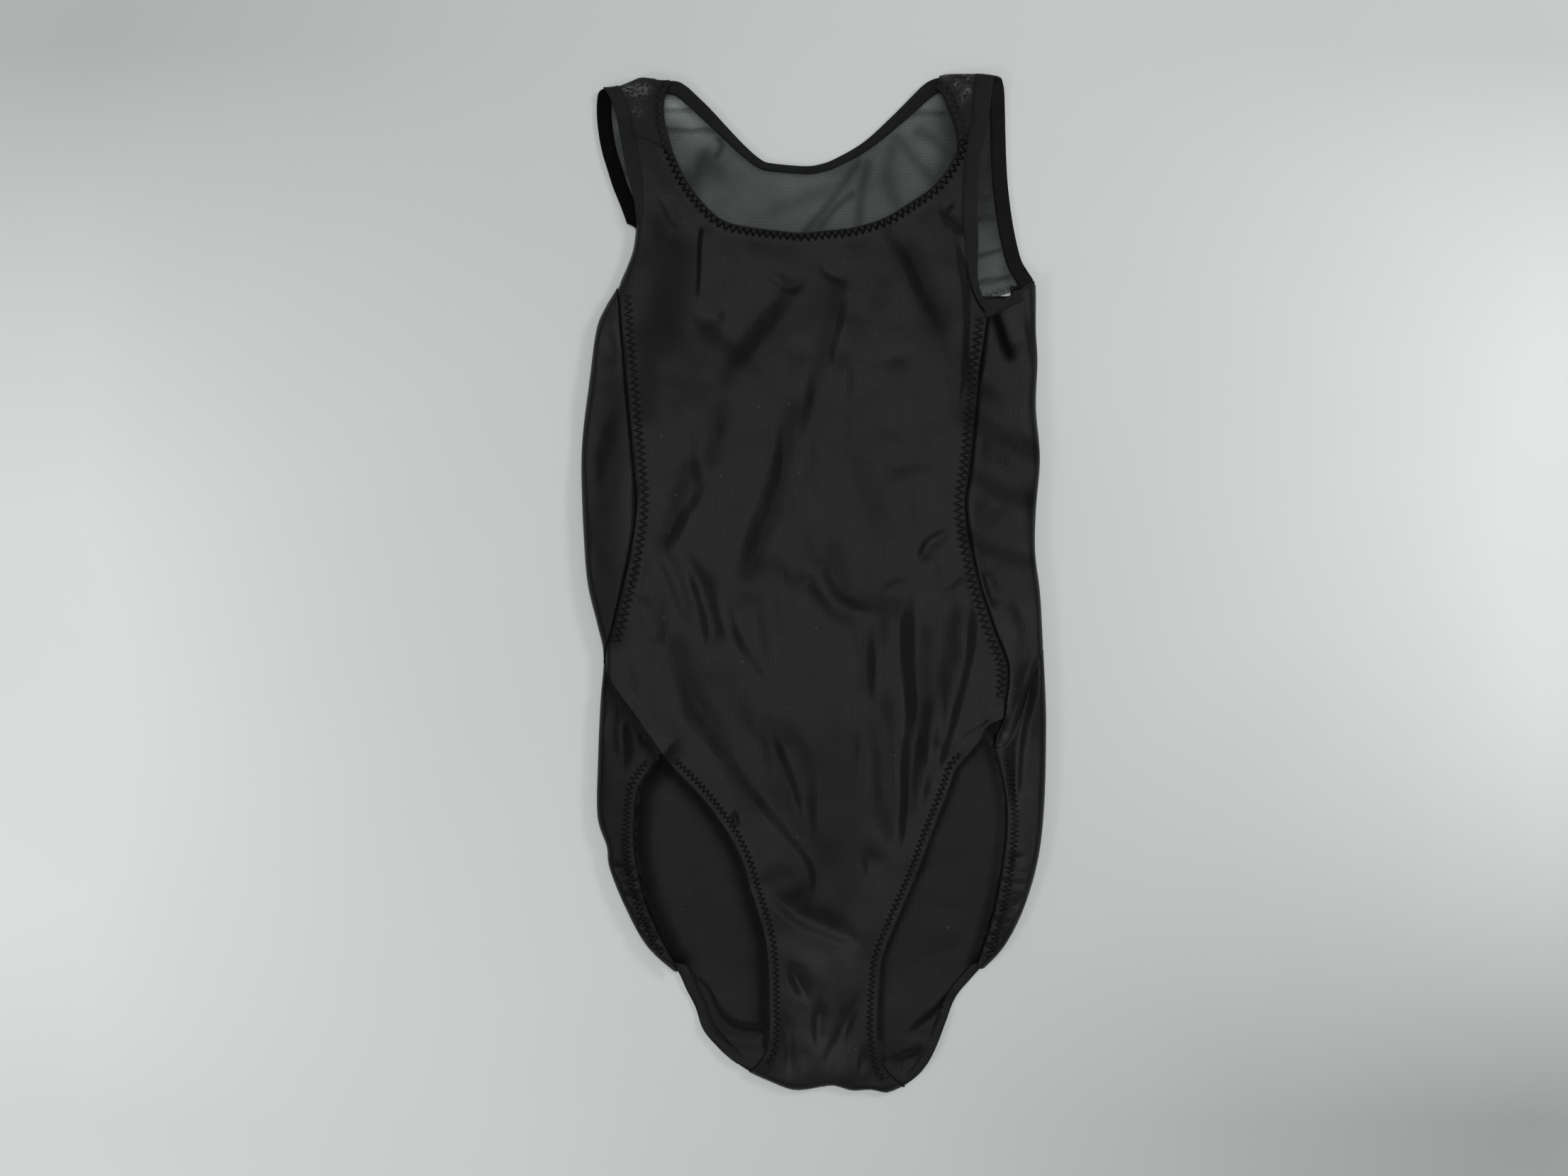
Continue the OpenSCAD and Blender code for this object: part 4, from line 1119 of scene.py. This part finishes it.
# Painted glints on the strap net, pale where light shows through its doubled layers: x, y, reach,
# strength
PAINTED_GLINTS = [(-117, 311, 3.5, 0.5), (-107, 311, 3.5, 0.5), (-112, 309, 4, 0.4), (-111, 297, 4, 0.25),
        (83, 320, 3, 0.5), (97, 320.5, 4, 0.5), (89, 314, 2.4, 0.6), (96, 309, 3, 0.6),
        (93, 304, 3, 0.2)]


def worn(pts):
    """How pale the painted glints make the strap net at each point."""
    return sum(k * spot(pts, x, y, r) for x, y, r, k in PAINTED_GLINTS)


def strap(name, low, top, left, right):
    """Strap top: doubled net from the front panel up over the shoulder and onto the back."""
    cloth = Cloth()
    for layer in range(2):
        length = np.hypot(*(left[-1] - left[0]))
        v = 1 - edge_steps(np.array([length]), 18)[0][::-1] / length
        plan = patch(low, top, at(left, v), at(right, v), v)
        grid = lifted(plan, front_z)
        away = smooth(fold_distance(flat(plan)) / 3).reshape(plan.shape[:2])
        uneven = 0.3 * sway(flat(plan) + 7 * layer, 0.3).reshape(away.shape)
        grid[..., 2] -= (0.1 + 0.8 * layer + uneven) * away
        cloth.add(grid, NET, crease=np.zeros(grid.shape[:2]), worn=worn(flat(grid)))
        steps = edge_steps(np.array([6.5 - layer]), 3)[0]
        back = strip(top, steps, back_z, side=-1.0)
        cloth.add(back, NET, crease=np.zeros(back.shape[:2]), worn=worn(flat(back)))
    return cloth.piece(name, STRAP_NET, merge=MERGE)


def straps():
    top = SHOULDER_L[(SHOULDER_L[:, 0] > -131.5 * KX) & (SHOULDER_L[:, 0] < -91 * KX)]
    top = evenly(top, n=STRAP_COLS)
    low = at(STRAP_L_LOW - [0, 1.5], np.linspace(0, 1, STRAP_COLS))
    arm = moved(within(ARM_L_FRONT, 283, 308), 3.5)[::-1]
    neck = within(SCOOP[SCOOP[:, 0] < 0], 268, 314)[::-1]
    left = strap("left_strap_net", low, top, np.vstack([low[:1], arm, top[:1]]),
                 np.vstack([low[-1:], neck, top[-1:]]))
    top = SHOULDER_R[(SHOULDER_R[:, 0] > 77 * KX) & (SHOULDER_R[:, 1] > 318.6 * KY)]
    top = evenly(top, n=STRAP_COLS)
    low = np.linspace([90.2, 277.5], [101.5, 278], STRAP_COLS) * SCALE
    neck = within(SCOOP[SCOOP[:, 0] > 0], 279, 312)
    arm = moved(within(ARM_R_FRONT, 280, 317), -3.5)[::-1]
    right = strap("right_strap_net", low, top, np.vstack([low[:1], neck, top[:1]]),
                  np.vstack([low[-1:], arm, top[-1:]]))
    return left, right


def fold_mark(w):
    return np.exp(-(np.asarray(w) / 1.6) ** 2)


def by_table(line, table, axis):
    """Width at each point of a line, read from a table of coordinate and width."""
    table = np.array(table)
    return np.interp(line[:, axis] / SCALE[axis], table[:, 0], table[:, 1])


def armhole_level(pts):
    """Front bindings lie on the front layer and slip under it at the left underarm."""
    under = smooth((232 - pts[:, 1] / KY) / 10) * (pts[:, 0] < 0)
    return front_z(pts) - 0.3 - 1.7 * under


def back_level(pts):
    """Back bindings rise from the table to the front at both ends of an armhole."""
    rise = smooth((pts[:, 1] / KY - 303) / 12) * 1.9 + smooth((206 - pts[:, 1] / KY) / 16) * 2.0
    return 1.5 + rise + 0.3 * sway(pts, 0.5)


def neck_level(pts):
    rise = smooth((pts[:, 1] / KY - 300) / 18) * 0.9
    return 2.0 + rise + 0.6 * sway(pts, 0.6)


def bindings():
    under = np.interp(np.linspace(0, 1, len(ARM_R_UNDER)), [0, 0.7, 1], [4.5, 7.5, 6.0])
    pieces = []
    for name, parts in (
        ("left_armhole_tape",
         ((ARM_L_FRONT, 1, armhole_level, by_table(ARM_L_FRONT, ARM_L_FRONT_WIDTH, 1), 0.0),
          (ARM_L_BACK, 1, back_level, 9.2, 0.85))),
        ("right_armhole_tape",
         ((ARM_R_FRONT, -1, armhole_level, by_table(ARM_R_FRONT, ARM_R_FRONT_WIDTH, 1), 0.0),
          (ARM_R_UNDER, -1, armhole_level, under, 0.0),
          (ARM_R_BACK, -1, back_level, 9.5, 0.4))),
    ):
        bundle = Bundle()
        # The last number of each part is painted shade for that tape; the back armhole tapes lie in
        # shadow.
        for line, side, height, width, painted_shade in parts:
            grid, w = bound_edge(line, side, height, width)
            bundle.add(grid, fold=fold_mark(w), nap=np.full(grid.shape[:2], painted_shade))
        pieces.append(bundle.piece(name, TAPE_FRONT))
    grid, w = bound_edge(NECK, -1, neck_level, by_table(NECK, NECK_WIDTH, 0))
    pieces.append(Bundle().add(grid, fold=fold_mark(w)).piece("back_neck_tape", TAPE_BACK))
    return pieces


def low_level(pts):
    """Height of the hem along the back layer's low edge inside a leg opening."""
    return np.minimum(back_z(pts) + 1.1, 3.5)


def hems():
    neck = Bundle().add(hem_tube(SCOOP, -1, front_face))
    pieces = [neck.piece("front_neck_hem", HEM_TAPE)]
    for name, front, hip, low, s, width in (
        ("leg_hem_left", within(LEG_L, -310, -56), within(HIP_L, -241, -108), LOW_L, 1, 7.2),
        ("leg_hem_right", within(LEG_R, -318, -90), within(HIP_R, -240, -102), LOW_R, -1, 6.0),
    ):
        bundle = Bundle()
        bundle.add(hem_tube(front, s, front_face))
        bundle.add(hem_tube(hip, -s, front_face))
        bundle.add(hem_tube(low, s, low_level, inset=-0.1, width=width, thick=1.7, drop=0.4))
        pieces.append(bundle.piece(name, HEM_TAPE))
    return pieces


def stitching():
    runs = {k: zigzag(line, side, near, far, pitch, front_face, 0.05)
            for k, (line, side, near, far, pitch, _) in STITCHES.items()}
    low = [zigzag(within(line, -304, -250), s, 4.6, 6.4, HEM_PITCH, low_level, 0.55)
           for line, s in ((LOW_L, 1), (LOW_R, -1))]
    binding = [zigzag(within(ARM_L_FRONT, 258, 309), 1, 7.0, 8.8, BIND_PITCH, armhole_level, 0.75),
               zigzag(within(ARM_R_FRONT, 214, 314), -1, 7.0, 8.6, BIND_PITCH, armhole_level, 0.75),
               *(zigzag(within(NECK[NECK[:, 0] * s > 0], 272, 316), -1, 4.6, 5.8, BIND_PITCH,
                        neck_level, 0.85) for s in (-1, 1))]
    crotch = zigzag(CROTCH_FOLD[6:-6], 1, 2.0, 5.0, HEM_PITCH, front_face, -0.9)
    yoke = zigzag(within(YOKE, 0, 188), 1, 1.5, 4.5, HEM_PITCH, net_z, 0.1)
    pieces = {"neck_hem_stitches": sewn("neck_hem_stitches", [runs["neck"]], DARK_THREAD, 0.19)}
    for name, rows in (("left_leg_stitches", [runs["leg_l"], runs["hip_l"], low[0]]),
                       ("right_leg_stitches", [runs["leg_r"], runs["hip_r"], low[1]]),
                       ("seam_topstitches", [runs["princess_l"], runs["princess_r"]]),
                       ("tape_stitches", binding), ("crotch_stitches", [crotch]),
                       ("yoke_stitches", [yoke])):
        pieces[name] = sewn(name, rows, THREAD)
    return pieces


def crotch_lining():
    y = np.arange(-302, -190, ROW) * KY
    left = x_at(LEG_L, y) + HEM_W + 1.5
    right = x_at(LEG_R, y) - HEM_W - 1.5
    x = left[:, None] + (right - left)[:, None] * np.linspace(0, 1, 40)[None, :]
    grid = lifted(np.dstack([x, np.broadcast_to(y[:, None], x.shape)]), lambda p: front_face(p) - 1.4)
    return Cloth().add(grid, 0.5, **stitch_marks(grid, ())).piece("gusset_lining", LINING_KNIT)


def shoulder_tapes():
    """Narrow tape in the seam along the top of each shoulder."""
    bundle = Bundle()
    angles = np.linspace(0, 2 * math.pi, 10, endpoint=False)
    for line in (SHOULDER_L[8:-4], SHOULDER_R[4:-4]):
        grid = strip(line, 0.9 + 1.2 * np.cos(angles), lambda p: np.full(len(p), EDGE_Z),
                     0.9 * np.sin(angles), -1)
        bundle.add(grid, fold=np.full(grid.shape[:2], 0.5))
    return bundle.piece("shoulder_tapes", TAPE_FRONT)


# ---- Bodies --------------------------------------------------------------------------------------

# Bends: body below, body above, joint, and how far the bend reaches below and above the fold line
WAIST = ("lower_body", "upper_body", "waist_fold", 0.010, 0.012)
SHOULDERS = ("upper_body", "shoulders", "shoulder_fold", 0.005, 0.006)


def tie(obj, slot, motion, *nodes):
    """Attaches a piece to its body, or only bakes its transform where it crosses a bend, and hides
    the CAD nodes it stands for. The slot is not used.
    """
    if motion in (WAIST, SHOULDERS):
        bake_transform(obj)
    else:
        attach(obj, motion)
    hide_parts(*nodes)


def dress():
    left, right = side_panels()
    for obj, node, slot in ((front_centre_panel(), "front_centre_panel", "knit"),
                            (left, "side_panel_left", "knit"),
                            (right, "side_panel_right", "knit"),
                            (back_panel(), "back_panel", "back_knit")):
        tie(obj, slot, WAIST, node + "_lower", node + "_upper")
    tie(back_net(), "net", SHOULDERS, "back_net_yoke", "back_net_shoulders")
    for obj, node in zip(straps(), ("strap_net_left", "strap_net_right")):
        tie(obj, "net", SHOULDERS, node)
    ends = ("armhole_binding_left_top", "armhole_binding_right_top", "neck_binding_ends")
    for obj, end in zip(bindings(), ends):
        tie(obj, "binding", SHOULDERS, end.replace("_top", "").replace("_ends", ""), end)
    neck, left, right = hems()
    tie(neck, "elastic", SHOULDERS, "front_neck_elastic", "front_neck_elastic_ends")
    tie(left, "elastic", "lower_body", "leg_elastic_left")
    tie(right, "elastic", "lower_body", "leg_elastic_right")
    rows = stitching()
    for name, motion, *nodes in (
        ("neck_hem_stitches", SHOULDERS, "front_neck_stitch", "front_neck_stitch_ends"),
        ("left_leg_stitches", "lower_body", "leg_hem_stitch_left"),
        ("right_leg_stitches", "lower_body", "leg_hem_stitch_right"),
        ("seam_topstitches", WAIST, "princess_topstitch_lower", "princess_topstitch_upper"),
        ("tape_stitches", SHOULDERS, "binding_stitch", "binding_stitch_ends"),
        ("crotch_stitches", "lower_body", "crotch_seam_stitch"),
        ("yoke_stitches", "upper_body", "yoke_seam_stitch"),
    ):
        tie(rows[name], "thread", motion, *nodes)
    tie(crotch_lining(), "lining", "lower_body", "crotch_gusset_lining")
    tie(shoulder_tapes(), "binding", "shoulders", "shoulder_seam_tape")


# ---- Table, light and camera ---------------------------------------------------------------------

TABLE_HALF = 4.0                         # metres from the table's middle to its edge
CAMERA_AT = (-0.019, -0.0025, 0.772)
CAMERA_LENS = 28                         # focal length over a sensor 36 wide
HORIZON = (0.22, 0.5)                    # rise of a mirrored ray, from the bright band to the dim top


def add_light(kind, name, place, power, colour):
    data = bpy.data.lights.new(name, kind)
    data.energy = power
    data.color = colour
    obj = bpy.data.objects.new(name, data)
    obj.location = place
    bpy.context.scene.collection.objects.link(obj)
    return obj


def ceiling_light(name, height, size, power, colour):
    """The wide soft light over the table, which the satin mirrors."""
    data = add_light("AREA", name, (0, 0, height), power, colour).data
    data.shape = "RECTANGLE"
    data.size, data.size_y = size


def side_light(name, place, radius, power, colour):
    """A soft lamp to one side. It leaves no highlights on the cloth."""
    lamp = add_light("POINT", name, place, power, colour)
    lamp.data.shadow_soft_size = radius
    lamp.visible_glossy = False


def room_light(name, level, above, around):
    """Even light of a pale room. Shiny cloth mirrors it dim above and bright near the horizon."""
    world = bpy.data.worlds.new(name)
    world.use_nodes = True
    tree = world.node_tree
    place = tree.nodes.new("ShaderNodeSeparateXYZ")
    tree.links.new(tree.nodes.new("ShaderNodeTexCoord").outputs["Generated"], place.inputs[0])
    band = tree.nodes.new("ShaderNodeMapRange")
    for key, value in zip(("From Min", "From Max", "To Min", "To Max"), (*HORIZON, around, above)):
        band.inputs[key].default_value = value
    tree.links.new(place.outputs[2], band.inputs["Value"])
    pick = tree.nodes.new("ShaderNodeMix")
    pick.inputs[2].default_value = level
    tree.links.new(tree.nodes.new("ShaderNodeLightPath").outputs["Is Glossy Ray"], pick.inputs[0])
    tree.links.new(band.outputs[0], pick.inputs[3])
    tree.links.new(pick.outputs[0], tree.nodes["Background"].inputs[1])
    tree.nodes["Background"].inputs[0].default_value = (0.94, 0.97, 0.96, 1)
    bpy.context.scene.world = world


def set_stage():
    mesh = bpy.data.meshes.new("table")
    corners = [(x * TABLE_HALF, y * TABLE_HALF, 0) for x, y in ((-1, -1), (1, -1), (1, 1), (-1, 1))]
    mesh.from_pydata(corners, [], [(0, 1, 2, 3)])
    mesh.materials.append(table_material("table_top"))
    table = bpy.data.objects.new("table", mesh)
    bpy.context.scene.collection.objects.link(table)
    ceiling_light("ceiling", 2.2, (0.8, 2.6), 26, (0.97, 1.0, 0.985))
    side_light("right_lamp", (1.15, 0.70, 0.90), 0.17, 30, (0.99, 1.0, 0.98))
    side_light("left_window", (-1.2, -0.75, 0.90), 0.17, 20, (0.98, 1.0, 0.99))
    room_light("room", 0.36, 0.10, 0.7)
    camera = bpy.data.objects.new("camera", bpy.data.cameras.new("camera"))
    camera.data.sensor_width = 36
    camera.data.lens = CAMERA_LENS
    camera.location = CAMERA_AT
    bpy.context.scene.collection.objects.link(camera)
    bpy.context.scene.camera = camera
    bpy.context.scene.view_settings.view_transform = "Standard"


dress()
set_stage()
